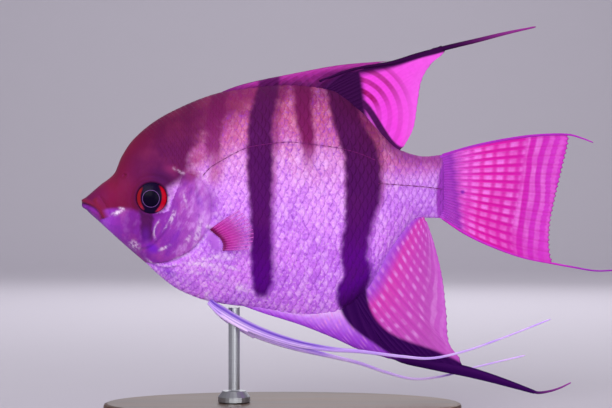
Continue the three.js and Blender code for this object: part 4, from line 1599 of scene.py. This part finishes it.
@dataclass(frozen=True)
class FinSheet:
    """A thin fin from root(u) through bow(u) to edge(u): u runs along the root, v along the rays."""

    name: str
    root: Curve
    bow: Curve
    edge: Curve
    rays: int
    marks: Callable[[Array, Array, Array, Array], Masks]
    columns: int = 150
    rows: int = 80
    thick_root: float = 0.95
    thick_edge: float = 0.3
    ripple: float = 0.2
    flute: float = 0.4  # how much thinner the film is than its rays
    bends: bool = True  # whether it follows the sweep of the tail
    side_border: float = 0.012  # the sheet thins out to its border over this share of u
    free_border: float = 0.02  # the same over v, at the free edge
    step: float = 0.02  # for slopes, in u and v

    def centre(self, u: Array, v: Array) -> Array:
        """Points of the sheet's middle surface."""
        v = v[:, None]
        return self.root(u) * (1 - v) ** 2 + self.bow(u) * 2 * v * (1 - v) + self.edge(u) * v**2

    def ridge(self, u: Array) -> Array:
        """1 on a ray and 0 between rays."""
        return hump(np.abs((u * self.rays + 0.5) % 1 - 0.5), 0.2)

    def place(self, u: Array, t: Array) -> Array:
        """Points of both faces, which meet round the fin's border.

        Args:
            u: Places along the root, from 0 to 1.
            t: Up one face along the rays and down the other.

        Returns:
            An (N, 3) array.
        """
        v, face = two_faces(t)
        ridge = self.ridge(u)
        reach = v * (1 - 0.012 * (1 - ridge) * smooth(0.8, 1, v))  # rays end a little beyond the film
        u0, u1 = np.maximum(0, u - self.step), np.minimum(1, u + self.step)
        v0, v1 = np.maximum(0, reach - self.step), np.minimum(1, reach + self.step)
        across = self.centre(u1, reach) - self.centre(u0, reach)
        along = self.centre(u, v1) - self.centre(u, v0)
        normal = np.cross(across, along)
        normal /= np.maximum(np.linalg.norm(normal, axis=-1, keepdims=True), 1e-9)
        normal *= np.where(normal[:, 1:2] < 0, -1.0, 1.0)
        half = mix(self.thick_root, self.thick_edge, v) / 2 * (1 - self.flute * (1 - ridge))
        border = np.clip(np.minimum(u, 1 - u) / self.side_border, 0, 1)
        border = border * np.clip((1 - v) / self.free_border, 0, 1)
        wave = self.ripple * np.sin(u * 9.0 + 2.0 * v) * smooth(0.1, 0.8, v)
        points = self.centre(u, reach) + normal * (wave + face * half * np.sqrt(border))[:, None]
        return swept(points) if self.bends else points

    def masks(self, u: Array, t: Array) -> Masks:
        """The fin's marks at its points."""
        x, _, z = self.centre(u, two_faces(t)[0]).T
        return self.marks(x, z, u, two_faces(t)[0])

    def build(self, shop: Workshop) -> Object:
        """Makes the fin."""
        return shop.grid(self.name, self.columns, 2 * self.rows, self.place, self.masks)


@dataclass(frozen=True)
class Strand:
    """A tapering ray along a path, with its depth and width as functions of the share of its length."""

    name: str
    line: Path
    depth: Curve
    width: Curve
    dark: Curve = np.zeros_like
    reach: float = 0.9
    strands: int = 0  # grooves along it, where it is a bundle of rays
    steps: int = 140
    sides: int = 24
    bends: bool = True  # whether it follows the sweep of the tail
    blunt_root: float = 0.006  # the ends round off over these shares of its length
    blunt_tip: float = 0.012

    def place(self, share: Array, v: Array) -> Array:
        """Points of the strand: share runs along it and v round it.

        Args:
            share: Places along the strand, from 0 to 1.
            v: Places round it.

        Returns:
            An (N, 3) array.
        """
        turn = 2 * math.pi * v
        at = self.line(share)
        ahead = self.line(np.minimum(1, share + 0.01)) - self.line(np.maximum(0, share - 0.01))
        ahead /= np.linalg.norm(ahead, axis=-1, keepdims=True)
        side = np.array([0.0, 1.0, 0.0]) - ahead * ahead[:, 1:2]
        side /= np.linalg.norm(side, axis=-1, keepdims=True)
        up = np.cross(ahead, side)
        tip = np.sqrt(np.clip((1 - share) / self.blunt_tip, 0, 1) * np.clip(share / self.blunt_root, 0, 1))
        fluted = 1 - 0.2 * self.groove(share, v)
        deep = (self.depth(share) / 2 * tip)[:, None] * up * np.sin(turn)[:, None]
        wide = (self.width(share) / 2 * tip * fluted)[:, None] * side * np.cos(turn)[:, None]
        return swept(at + deep + wide) if self.bends else at + deep + wide

    def groove(self, share: Array, v: Array) -> Array:
        """1 in a groove between two rays of a bundle and 0 on a ray.

        Args:
            share: Places along the strand, from 0 to 1.
            v: Places round it.

        Returns:
            The grooves' strength.
        """
        if not self.strands:
            return np.zeros_like(v)
        height = (1 - np.sin(2 * math.pi * v)) / 2
        cell = np.abs((height * self.strands) % 1 - 0.5)
        return hump(0.5 - cell, 0.16) * smooth(1.0, 0.75, share)

    def masks(self, share: Array, v: Array) -> Masks:
        """Darkness, the shaded upper edge and the grooves.

        Args:
            share: Places along the strand, from 0 to 1.
            v: Places round it.

        Returns:
            The marks that the paint reads.
        """
        marks = fin_marks(share, dark=self.dark(share), reach=self.reach, film=1.0)
        marks["upper"] = hump(np.sin(2 * math.pi * v) - 0.5, 0.4) * smooth(0.46, 0.3, share)
        marks["groove"] = 0.7 * self.groove(share, v)
        return marks

    def build(self, shop: Workshop) -> Object:
        """Makes the strand."""
        return shop.grid(self.name, self.steps, self.sides, self.place, self.masks)


class Compound:
    """A piece that joins sheets and strands."""

    name: str

    def parts(self) -> tuple[FinSheet | Strand, ...]:
        """The sheets and strands."""
        raise NotImplementedError

    def build(self, shop: Workshop) -> Object:
        """Makes the piece."""
        return shop.joined(self.name, [part.build(shop) for part in self.parts()])


def root_along(outline: Profile, start: float, end: float, shift: float) -> Curve:
    """The root of a fin along the back or belly, shifted up or down into the flesh."""
    return lambda u: np.stack([mix(start, end, u), 0 * u, outline(mix(start, end, u)) + shift], axis=-1)


def taper(thick: float, thin: float) -> Curve:
    """A size that falls evenly along a strand."""
    return lambda share: mix(thick, thin, share)


@dataclass(frozen=True)
class SenseLine(Compound):
    """The lateral line on one flank: two rows of little tubes, one on each scale they cross."""

    side: Side
    tube: float = 2.0  # length of one tube

    @property
    def name(self) -> str:
        """The piece's name."""
        return f"lateral_line_{self.side.word}"

    def swollen(self, length: float) -> Curve:
        """The line's thickness, which swells and falls once for each tube."""
        return lambda share: 0.17 + 0.08 * np.sin(2 * math.pi * length / self.tube * share)

    def parts(self) -> tuple[FinSheet | Strand, ...]:
        """Both lengths of the line, laid on the scales.

        Returns:
            The parts.
        """
        made = []
        for end, line, length in (("fore", LATERAL_LINE, 55), ("rear", LATERAL_TAIL, 18)):
            x, _, z = line(np.linspace(0, 1, 40)).T
            out = self.side.value * (FORM.flank_width(x, z) - 0.17 + RELIEF.height(x, z))
            on_scales = Path(*np.stack([x, out, z], axis=-1).tolist())
            size = self.swollen(length)
            made.append(Strand(f"{self.name}_{end}", on_scales, size, size, taper(0.35, 0.35), 0.05,
                               steps=240, sides=8))
        return tuple(made)


class DorsalFin(Compound):
    """The dorsal fin: a low spiny fringe, a soft sail and its long dark streamer."""

    name = "dorsal_fin"
    START, PARTING, END = 37.6, 66.5, 88.6
    FRINGE_SHARE = 0.3  # part of the paint's ground that the fringe takes
    ARCS = (75.4, 23.9, 7.8, 3)  # middle of the sail's curved stripes, the first's radius, their spacing
    LEAD = Path((66, 33.6), (76, 37.1), (86.6, 38.9), (94.4, 41.2), (101.8, 43.2), (110, 45.2), (119, 47.5),
                (127.5, 49.4))

    @classmethod
    def fringe(cls, x: Array, z: Array, u: Array, v: Array) -> Masks:
        """Dark along the root and over the bars, with a thin dark rim.

        Args:
            x: Places along the fish.
            z: Their heights.
            u: Places along the root, from 0 to 1.
            v: Places along the rays.

        Returns:
            The marks that the paint reads.
        """
        rim = smooth(0.8, 1.0, v) * mix(0.85, 0.45, smooth(0.1, 0.5, u))
        root = smooth(0.5, 0.0, v) * 0.6
        first = MARKINGS.first.mask(x, np.minimum(z, 32))
        tail = smooth(0.62, 0.95, u) * (1 - 0.75 * smooth(0.45, 0.75, v))
        start = 0.6 * smooth(0.3, 0.05, u)
        dark = np.maximum.reduce([rim, root, 0.8 * first, tail, start])
        return fin_marks(u, row=u * 13 + 0.5, run=5 * v, spots=0.25, dark=dark,
                         reach=cls.FRINGE_SHARE * v * 0.98, film=0.6)

    @classmethod
    def sail(cls, x: Array, z: Array, u: Array, v: Array) -> Masks:
        """Dark along the leading edge and in a band along the root, with curved stripes between.

        Args:
            x: Places along the fish.
            z: Their heights.
            u: Places along the root, from 0 to 1.
            v: Places along the rays.

        Returns:
            The marks that the paint reads.
        """
        lead, share = cls.LEAD.measure(x, z)
        width = mix(4.4, 1.3, smooth(0.0, 0.5, share))
        front = smooth(-width, -0.7, lead) * (1 - 0.2 * smooth(0.6, 1, share))
        corner = smooth(79.4, 77.6, x + 0.12 * (z - 32))
        height = (z - FORM.back(x)) * 0.72
        low = mix(0.55, -0.6, smooth(79, 84, x))
        high = mix(3.0, 0.9, smooth(80, 88.5, x))
        band = between(height, low - 0.2, low + 0.35, high - 0.7, high) * smooth(76, 78, x)
        bar = MARKINGS.second.mask(x, np.minimum(z, 33)) * smooth(0.3, 0.05, v)
        mid_x, mid_z, first, spacing = cls.ARCS
        radius = np.hypot(x - mid_x, z - mid_z)
        angle = np.degrees(np.arctan2(z - mid_z, x - mid_x))
        fade = mix(0.3, 1.0, smooth(5, 45, angle)) * between(radius, 19, 14.5, 6.6, 5.4)
        fade = fade * mix(1.0, 0.75, smooth(8.5, 10.5, radius))
        return fin_marks(
            u, row=u * 22 + 0.5, run=(radius - first) / spacing + 0.25, stripes=fade,
            dark=np.maximum.reduce([front, corner, 0.95 * band, bar]),
            reach=mix(cls.FRINGE_SHARE + 0.02, 1.0, v), film=0.85 * smooth(0.6, 0.1, v))

    def parts(self) -> tuple[FinSheet | Strand, ...]:
        """A low fringe, a sail and the streamer.

        Returns:
            The parts.
        """
        fringe = FinSheet(
            "dorsal_fringe", root_along(FORM.back, self.START, self.PARTING + 4, -0.8),
            Path((37.8, 30.2), (58, 35), (76.4, 37.8)),
            Path((38, 30.3), (41.5, 31.8), (46, 33.2), (60.9, 36.3), (72, 38.3), (86, 39.5)),
            13, self.fringe, columns=150, rows=24, ripple=0.05)
        sail = FinSheet(
            "dorsal_sail", root_along(FORM.back, self.PARTING + 0.3, self.END, -0.8),
            Path((76.5, 37.6), (81.5, 35.2), (84.8, 30), (87.5, 23.5), (89.3, 15.1)),
            Path((86, 39.2), (94.4, 41.7), (101.2, 43.7), (101.5, 42.1), (98.1, 39.1), (95.2, 34.6),
                 (93.9, 28), (92.6, 20.5), (90, 15.6)),
            22, self.sail, columns=200, rows=76, flute=0.15)
        lead = Strand(
            "dorsal_lead", self.LEAD, Profile((0, 0.8), (0.25, 1), (0.45, 1.45), (0.7, 1.3), (1, 0.5)),
            taper(0.9, 0.5), dark=lambda share: 1 - 0.3 * smooth(0.6, 1, share))
        return fringe, sail, lead


class AnalFin(Compound):
    """The anal fin: a streaky spiny front, a spotted soft sail and a long black lobe."""

    name = "anal_fin"
    START, PARTING, END = 44.5, 75.6, 95.6
    FRONT_SHARE = 0.3  # part of the paint's ground that the spiny front takes
    LEAD = Path(
        (84.5, -42.4), (90, -44.2), (97, -45.4), (106.3, -47.2), (113, -49), (120, -51.2), (127.4, -53.7))
    LOBE_TOP = Path(
        (79.2, -22), (79.8, -27), (80.6, -30), (82.3, -33), (85, -35.8), (88, -37.6), (91, -38.9),
        (95, -40.2), (98, -41.2), (101.4, -42.7), (107, -45.4))
    LOBE_LOW = Path(
        (71.2, -22), (71.5, -27), (72.5, -30.5), (74.5, -33.8), (77.5, -36.6), (81, -39), (84, -41.1),
        (88, -43.4), (92, -45), (98, -46.6), (106, -50))

    @classmethod
    def lobe(cls, x: Array, z: Array) -> Array:
        """1 in the black lobe, between its upper and its lower edge."""
        over, under = (edge.measure(x, z)[0] for edge in (cls.LOBE_TOP, cls.LOBE_LOW))
        return smooth(0.6, -0.6, over) * smooth(-0.7, 0.5, under)

    @classmethod
    def front(cls, x: Array, z: Array, u: Array, v: Array) -> Masks:
        """Pale streaks along the rays, black where the second bar runs down into it.

        Args:
            x: Places along the fish.
            z: Their heights.
            u: Places along the root, from 0 to 1.
            v: Places along the rays.

        Returns:
            The marks that the paint reads.
        """
        rim = hump(1 - v, 0.12) * smooth(0.2, 0.7, u) * 0.35
        pale = smooth(0.9, 0.3, v) * smooth(0.3, 0.7, u)
        return fin_marks(u, row=u * 26, run=v * 3 + 9 * u, spots=0.3 + 0.6 * pale,
                         dark=np.maximum(cls.lobe(x, z), rim), reach=cls.FRONT_SHARE * 0.98 * v, film=0.85)

    @classmethod
    def sail(cls, x: Array, z: Array, u: Array, v: Array) -> Masks:
        """Rows of pale spots that run together into stripes, black below the lobe's upper edge.

        Args:
            x: Places along the fish.
            z: Their heights.
            u: Places along the root, from 0 to 1.
            v: Places along the rays.

        Returns:
            The marks that the paint reads.
        """
        spots = between(v, 0.02, 0.14, 0.6, 0.8)
        stripes = 0.55 * smooth(0.62, 0.8, v) * (1 - 0.6 * smooth(0.85, 1, v)) * smooth(0.25, 0.5, u)
        speckle = smooth(0.2, 0.1, v) * 0.7
        return fin_marks(
            u, row=u * 15.5, run=v * 7.0 + 0.5 * np.sin(5 * u), spots=np.maximum(spots, speckle),
            stripes=stripes, dark=cls.lobe(x, z), reach=mix(cls.FRONT_SHARE + 0.02, 1.0, v),
            film=0.7 * smooth(0.9, 0.3, v))

    def parts(self) -> tuple[FinSheet | Strand, ...]:
        """A spiny front, a sail, the lobe and its filament.

        Returns:
            The parts.
        """
        front = FinSheet(
            "anal_front", root_along(FORM.belly, self.START, self.PARTING + 3, 1.0),
            Path((44.8, -28.9), (57, -32.4), (68, -35.5), (80.8, -38.3)),
            Path((44.9, -29), (50.4, -31), (60.9, -34.3), (70.7, -38.2), (77.7, -41.4), (88.6, -44.6)),
            14, self.front, columns=160, rows=40, ripple=0.08)
        sail = FinSheet(
            "anal_sail", root_along(FORM.belly, self.PARTING, self.END, 1.0),
            Path((80.4, -37.8), (87.5, -34.8), (91.6, -25), (93.8, -15), (95.8, -5.4)),
            Path((87.8, -44.2), (97, -45.9), (105.7, -48), (106.1, -44.6), (102.9, -39.9), (102, -31),
                 (100.8, -21), (98.6, -12), (96.4, -5.5)),
            30, self.sail, columns=240, rows=80, flute=0.25)
        lead = Strand(
            "anal_lead", self.LEAD, Profile((0, 0.3), (0.12, 1.9), (0.46, 3.1), (0.76, 2.2), (1, 1)),
            taper(1.1, 0.7), dark=lambda share: mix(0.6, 1.0, smooth(0.0, 0.14, share)), reach=0.2)
        wisp = Strand(
            "anal_wisp", Path((126.4, -53.3), (127.8, -53.7), (131, -53.4), (134.2, -52.5), (137.5, -51)),
            taper(0.9, 0.4), taper(0.8, 0.4), dark=lambda share: 1 - 0.5 * share, steps=60, sides=12)
        return front, sail, lead, wisp


class TailFin(Compound):
    """The tail fin with its two thin trailing rays."""

    name = "tail_fin"
    ROOT_X = 99.6

    @staticmethod
    def marks(x: Array, z: Array, u: Array, v: Array) -> Masks:
        """Rows of pale beads that merge into upright stripes, a violet root bar and one dark spot.

        Args:
            x: Places along the fish.
            z: Their heights.
            u: Places along the root, from 0 to 1.
            v: Places along the rays.

        Returns:
            The marks that the paint reads.
        """
        slant = 0.12 * (z - 4)
        start = smooth(99.6, 100.6, x + slant)
        hind = x + slant + 0.35 * np.sin(z * 2.1)
        bar = start * smooth(106.6, 103.6, hind) * (0.7 + 0.3 * hump(hind - 104.2, 0.9))
        corners = hump(np.hypot(x - 102.7, z - 13.2), 1.3) + hump(np.hypot(x - 104, z + 5), 1.6)
        spot = 1.3 * hump(np.hypot(x - 106.4, z - 2.8), 0.55)
        low = 1 - 0.65 * smooth(0.72, 0.95, u) * smooth(0.45, 0.7, v)
        beads = between(v, 0.14, 0.24, 0.64, 0.72) * low
        stripes = smooth(0.64, 0.7, v) * (1 - 0.55 * smooth(0.8, 1, v)) * low * 0.85
        run = v * 10.5 - 0.11 + 0.3 * np.sin(7 * u) * smooth(0.6, 0.9, v)
        return fin_marks(u, row=u * 13.5 + 0.25, run=run, spots=beads, stripes=stripes,
                         dark=np.maximum.reduce([0.85 * bar, 0.5 * corners, spot]), reach=v,
                         film=0.85 - 0.6 * smooth(0.3, 1, v))

    def parts(self) -> tuple[FinSheet | Strand, ...]:
        """The fin and its two trailing rays.

        Returns:
            The parts.
        """
        root = Path((self.ROOT_X, 12.8), (self.ROOT_X, 4.4), (self.ROOT_X, -4.2))
        sail = FinSheet(
            "tail_sail", root,
            Path((118.5, 18.9), (118, 12), (117, 2), (115, -8), (115, -14.6)),
            Path((136.8, 19.3), (136.9, 17.4), (134.9, 9), (133, 1), (131.5, -7), (131.5, -14.5),
                 (132.4, -17.5)),
            27, self.marks, columns=260, rows=100, thick_root=1.2)
        upper = Strand(
            "tail_upper", Path((100.5, 13), (109, 15.5), (118.3, 17.5), (127.6, 18.8), (137, 19),
                               (140.5, 18.1), (144.1, 16.8)),
            Profile((0, 0.9), (0.8, 0.6), (1, 0.35)), taper(0.8, 0.35), dark=taper(0.75, 0.55),
            steps=120, sides=14)
        lower = Strand(
            "tail_lower", Path((100.5, -4.3), (107.4, -8.9), (115.5, -12.7), (123.8, -15.6), (132.6, -17.4),
                               (138, -18.4), (145, -19.5), (153.5, -19.1)),
            Profile((0, 0.9), (0.6, 0.6), (1, 0.4)), taper(0.8, 0.4),
            dark=lambda share: 0.25 + 0.6 * smooth(0.6, 0.8, share), steps=140, sides=14)
        return sail, upper, lower


@dataclass(frozen=True)
class PelvicFin(Compound):
    """A pelvic fin: a short spine, and stout rays that trail off together as one long soft ray."""

    side: Side

    LINES = {
        Side.LEFT: Path(
            (35.6, -1.4, -27.4), (36.7, -1.9, -28.6), (42, -3.6, -32), (49, -5.2, -35.4), (59, -6.1, -38.7),
            (69, -6.5, -40.5), (77.6, -6.5, -41.2), (88.8, -6.3, -42.6), (97, -6, -43.2),
            (106, -5.4, -41.5), (116.8, -4.6, -38), (131.3, -3.4, -32.7)),
        Side.RIGHT: Path(
            (35.6, 1.4, -27.7), (36.7, 1.9, -28.9), (41.5, 3.8, -32.9), (48.5, 5.4, -37.1),
            (59, 6.2, -40.9), (69, 6.5, -43.5), (77.6, 6.5, -45.6), (85.5, 6.4, -48.3), (93, 6.2, -50.1),
            (101, 5.9, -49.4), (110, 5.4, -47), (125.1, 4.6, -43.5)),
    }
    SPINES = {
        Side.LEFT: Path((35.3, -1.6, -27.9), (38.4, -2.8, -30.9), (42.4, -4, -33.5), (46.6, -5.1, -35.9)),
        Side.RIGHT: Path((35.3, 1.6, -28.2), (38.2, 2.8, -31.5), (43, 4.3, -35.2), (48, 5.5, -38.4)),
    }

    @property
    def name(self) -> str:
        """The piece's name."""
        return f"pelvic_fin_{self.side.word}_rays"

    def parts(self) -> tuple[FinSheet | Strand, ...]:
        """The long bundle of rays and the spine.

        Returns:
            The parts.
        """
        rays = Strand(
            self.name, self.LINES[self.side],
            Profile((0, 1.7), (0.06, 2.9), (0.24, 2.3), (0.42, 1.15), (0.6, 0.8), (1, 0.45)),
            Profile((0, 1.5), (0.4, 0.85), (1, 0.45)), strands=4, steps=260, sides=40)
        spine = Strand(self.name + "_spine", self.SPINES[self.side], Profile((0, 1), (0.4, 1.3), (1, 0.6)),
                       taper(1.2, 0.6), steps=60, sides=16)
        return rays, spine


@dataclass(frozen=True)
class PectoralFin:
    """A breast fin: a fan of soft rays that stands out from the flank behind the gill cover."""

    side: Side
    flare: float = 0.6
    length: float = 13.2
    hollow: float = 0.7  # how far its rays bow in towards the flank
    lean: tuple[float, float] = (0.6, 0.03)  # how far the first and last rays rise, in radians

    ROOT = Path((36.3, -7.4), (37.6, -8.6), (39.2, -10), (39.9, -11.6), (39.7, -13.4))

    def root(self, u: Array) -> Array:
        """Points of the fin's short root on the flank."""
        x, _, z = self.ROOT(u).T
        return np.stack([x, self.side.value * (FORM.flank_width(x, z) + 0.25), z], axis=-1)

    def edge(self, u: Array) -> Array:
        """Points of its rounded free edge.

        Args:
            u: Places along the root, from 0 to 1.

        Returns:
            An (N, 3) array.
        """
        lean = mix(*self.lean, u)
        reach = self.length * mix(1.0, 0.74, u) * (1 - 0.12 * np.abs(2 * u - 1) ** 3)
        flat = math.cos(self.flare) * reach
        out = self.side.value * math.sin(self.flare) * reach
        return self.root(u) + np.stack([flat * np.cos(lean), out, flat * np.sin(lean)], axis=-1)

    def bow(self, u: Array) -> Array:
        """Points halfway along the rays, which are nearly straight."""
        return (self.root(u) + self.edge(u)) / 2 - (0, self.side.value * self.hollow, 0)

    @staticmethod
    def marks(x: Array, z: Array, u: Array, v: Array) -> Masks:
        """A dark red patch over the root, and pale rays that fade outwards.

        Args:
            x: Places along the fish.
            z: Their heights.
            u: Places along the root, from 0 to 1.
            v: Places along the rays.

        Returns:
            The marks that the paint reads.
        """
        dark = smooth(0.16, 0.03, v) * (1 - 0.3 * u)
        rays = 0.8 * smooth(0.2, 0.5, v)
        return fin_marks(u, row=u * 12, run=0.25, spots=rays, dark=dark, reach=v,
                         film=0.9 * smooth(0.85, 0.2, v) * (1 - 0.5 * smooth(0.5, 1, u)))

    def build(self, shop: Workshop) -> Object:
        """Makes the fin.

        Args:
            shop: Makes the objects.

        Returns:
            The piece.
        """
        fan = FinSheet(f"pectoral_fan_{self.side.word}", self.root, self.bow, self.edge, 12, self.marks,
                       columns=120, rows=50, thick_root=0.8, thick_edge=0.25, ripple=0.06, bends=False)
        return fan.build(shop)


# ---------------------------------------------------------------- the studio


@dataclass(frozen=True)
class Lamp:
    """A soft square lamp."""

    name: str
    place: tuple[float, float, float]
    size: float
    power: float
    aim: tuple[float, float, float] | None = None  # the fish, where it is left out


@dataclass(frozen=True)
class Studio:
    """Camera, lamps and a pale paper sweep."""

    placement: Placement
    lens: float = 100.0
    sensor: float = 36.0
    view_width: float = 170.95  # width of the view at the fish's mid-plane
    aim: tuple[float, float] = (62.57, -0.56)  # middle of the view, from the snout
    room_colour: str = "#F2EEF6"
    room_strength: float = 0.34
    lamps: tuple[Lamp, ...] = (
        Lamp("key", (-0.30, -0.75, 0.42), 0.5, 4.4),
        Lamp("fill", (0.35, -0.75, 0.10), 0.6, 3.4),
        Lamp("top", (0.05, 0.05, 0.75), 0.5, 0.9),
        Lamp("back", (0.1, 0.6, 0.45), 0.6, 1.6),
        Lamp("paper", (0, 0.45, 0.95), 0.8, 7.0, (0, 1.5, 0.3)),
    )

    def camera(self) -> None:
        """Sets the camera level with the fish, square to its left side."""
        data = bpy.data.cameras.new("camera")
        data.lens, data.sensor_width = self.lens, self.sensor
        data.dof.use_dof = False
        made = linked("camera", data)
        middle = self.placement.to_row(np.array([[self.aim[0], 0.0, self.aim[1]]]))[0]
        distance = self.view_width * self.lens / self.sensor * MM
        made.location = (middle[0], -distance, middle[2])
        made.rotation_euler = (math.pi / 2, 0.0, 0.0)
        bpy.context.scene.camera = made

    def light(self) -> None:
        """Hangs the lamps and lights the room evenly."""
        centre = Vector((0.0, 0.0, self.placement.snout_z))
        for lamp in self.lamps:
            data = bpy.data.lights.new(lamp.name, "AREA")
            data.shape, data.size, data.energy = "SQUARE", lamp.size, lamp.power
            made = linked(lamp.name, data)
            made.location = lamp.place
            ahead = Vector(lamp.aim or centre) - Vector(lamp.place)
            made.rotation_euler = ahead.to_track_quat("-Z", "Y").to_euler()
        world = bpy.data.worlds.new("room")
        bpy.context.scene.world = world
        world.use_nodes = True
        glow = world.node_tree.nodes["Background"].inputs
        glow["Color"].default_value = linear(self.room_colour)
        glow["Strength"].default_value = self.room_strength
        bpy.context.scene.view_settings.view_transform = "Standard"

    def sweep(self) -> None:
        """Lays the paper: a floor that curves up behind the model."""
        bm = bmesh.new()
        bmesh.ops.create_grid(bm, x_segments=2, y_segments=60, size=1.0)
        half_width, near, length, radius, wall = 2.4, -1.6, 4.6, 0.5, 1.1  # metres
        for vert in bm.verts:
            run = near + length * (vert.co.y + 1) / 2
            over = max(0.0, run - wall)
            turn = min(over / radius, math.pi / 2)
            climb = max(0.0, over - radius * math.pi / 2)
            vert.co = (vert.co.x * half_width, min(run, wall) + radius * math.sin(turn),
                       radius * (1 - math.cos(turn)) + climb)
        mesh = bpy.data.meshes.new("paper_sweep")
        for face in bm.faces:
            face.smooth = True
        bmesh.ops.recalc_face_normals(bm, faces=bm.faces)
        bm.to_mesh(mesh)
        bm.free()
        mesh.materials.append(StudioPaper().made())
        linked("paper_sweep", mesh)

    def build(self) -> None:
        """Sets up camera, lamps and paper."""
        self.camera()
        self.light()
        self.sweep()


# ---------------------------------------------------------------- the model


DORSAL_PAINT = FinPaint(
    "dorsal_film_resin",
    ((0.0, "#701C5C"), (0.16, "#962888"), (0.29, "#C044AC"), (0.33, "#B24CB4"), (0.42, "#EC4CE0"),
     (0.62, "#FC44E8"), (1.0, "#FC62F0")),
    spot="#9C0858", ray="#E03CC8", dark="#26052E", ray_strength=0.1, wander=0.12, patchy=0.05,
    film=0.8, band=(-0.25, 0.55))
ANAL_PAINT = FinPaint(
    "anal_film_resin",
    ((0.0, "#F0C8FF"), (0.07, "#CC80F8"), (0.18, "#A048DC"), (0.29, "#7C28B4"), (0.33, "#B460E4"),
     (0.37, "#AC48D0"), (0.44, "#D83CB0"), (0.6, "#CC44B8"), (0.8, "#C44CBC"), (1.0, "#D860D8")),
    spot="#E490E4", ray="#B03CB0", dark="#2A0446", ray_strength=0.14, wander=0.9, patchy=0.6,
    film=0.8, strip=(-0.2, 0.9), bead=(-0.2, 0.9))
TAIL_PAINT = FinPaint(
    "tail_film_resin",
    ((0.0, "#B850DC"), (0.14, "#D05CD0"), (0.26, "#E03CC0"), (0.36, "#E01CA8"), (0.6, "#DC1CAC"),
     (0.8, "#D62CC4"), (1.0, "#E03CD4")),
    spot="#F27CE6", ray="#C01890", dark="#902CB0", ray_strength=0.3, wander=0.45, patchy=0.55,
    film=0.8)
PECTORAL_PAINT = FinPaint(
    "pectoral_film_resin", ((0.0, "#9C1270"), (0.3, "#D02CB0"), (1.0, "#D05CDC")),
    spot="#DC48C0", ray="#F074D8", dark="#6C0C44", ray_strength=0.75, wander=0.35, patchy=0.45,
    film=0.1)


@dataclass(frozen=True)
class Angelfish:
    """Everything that is flesh, scale, eye or fin."""

    shop: Workshop

    def flesh(self) -> None:
        """Makes the skin and the scales that lie on it."""
        skin = FishPaint("airbrushed_resin_skin", roughness=0.42, pearl=0.25, on_scales=False).made()
        pearl = FishPaint("pearl_resin_scales", roughness=0.38, pearl=0.3, on_scales=True).made()
        self.shop.finish(Skin().build(self.shop), skin, "head_skin",
                         "head", "lower_jaw", "gill_cover_left", "gill_cover_right", "trunk", "tail_stem")
        for side in Side:
            for scales in (BODY_SCALES, FACE_SCALES):
                self.shop.finish(scales.build(self.shop, side), pearl, "flank_skin")

    def eyes(self) -> None:
        """Makes both eyes."""
        glass = GlassEye().made()
        for side in Side:
            self.shop.finish(EyeBall(side).build(self.shop), glass, "eye", f"eye_{side.word}")

    def fins(self) -> None:
        """Makes the lateral lines and every fin."""
        dorsal, anal, tail, pelvic, pectoral = (
            paint.made() for paint in (DORSAL_PAINT, ANAL_PAINT, TAIL_PAINT, PelvicPaint(), PECTORAL_PAINT))
        pieces = [
            *((SenseLine(side), dorsal, "dark_fin") for side in Side),
            (DorsalFin(), dorsal, "fin", "dorsal_fin_spiny", "dorsal_fin_soft", "dorsal_streamer"),
            (AnalFin(), anal, "fin", "anal_fin_spiny", "anal_fin_soft", "anal_streamer", "anal_filament"),
            (TailFin(), tail, "fin", "caudal_fin", "caudal_streamer_upper", "caudal_streamer_lower"),
        ]
        for side in Side:
            ray_nodes = (f"pelvic_fin_{side.word}", f"pelvic_streamer_{side.word}")
            pieces.append((PelvicFin(side), pelvic, "pelvic_fin", *ray_nodes))
            pieces.append((PectoralFin(side), pectoral, "fin", f"pectoral_fin_{side.word}"))
        for piece, material, slot, *nodes in pieces:
            self.shop.finish(piece.build(self.shop), material, slot, *nodes)

    def build(self) -> None:
        """Makes every piece of the fish."""
        self.flesh()
        self.eyes()
        self.fins()


@dataclass(frozen=True)
class Stand:
    """The base, collar and rod, which keep their solids and get their finishes here."""

    nodes: Mapping[str, Object]

    def dress(self) -> None:
        """Gives each solid of the stand its material."""
        wood, steel = OiledWalnut().made(), BrushedSteel().made()
        for name, material in (("stand_base", wood), ("stand_collar", steel), ("stand_rod", steel)):
            solid = self.nodes[name]
            solid.data.materials.clear()
            solid.data.materials.append(material)
            LOG.info("%s: %s", name, material.name)


def main() -> None:
    """Builds the studio, the fish and the stand round the frame."""
    logging.basicConfig(level=logging.INFO, format="%(name)s: %(message)s", force=True)
    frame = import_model()
    placement = Placement.from_frame()
    Studio(placement).build()
    Angelfish(Workshop(placement)).build()
    Stand(frame["nodes"]).dress()


if __name__ == "__main__":
    main()
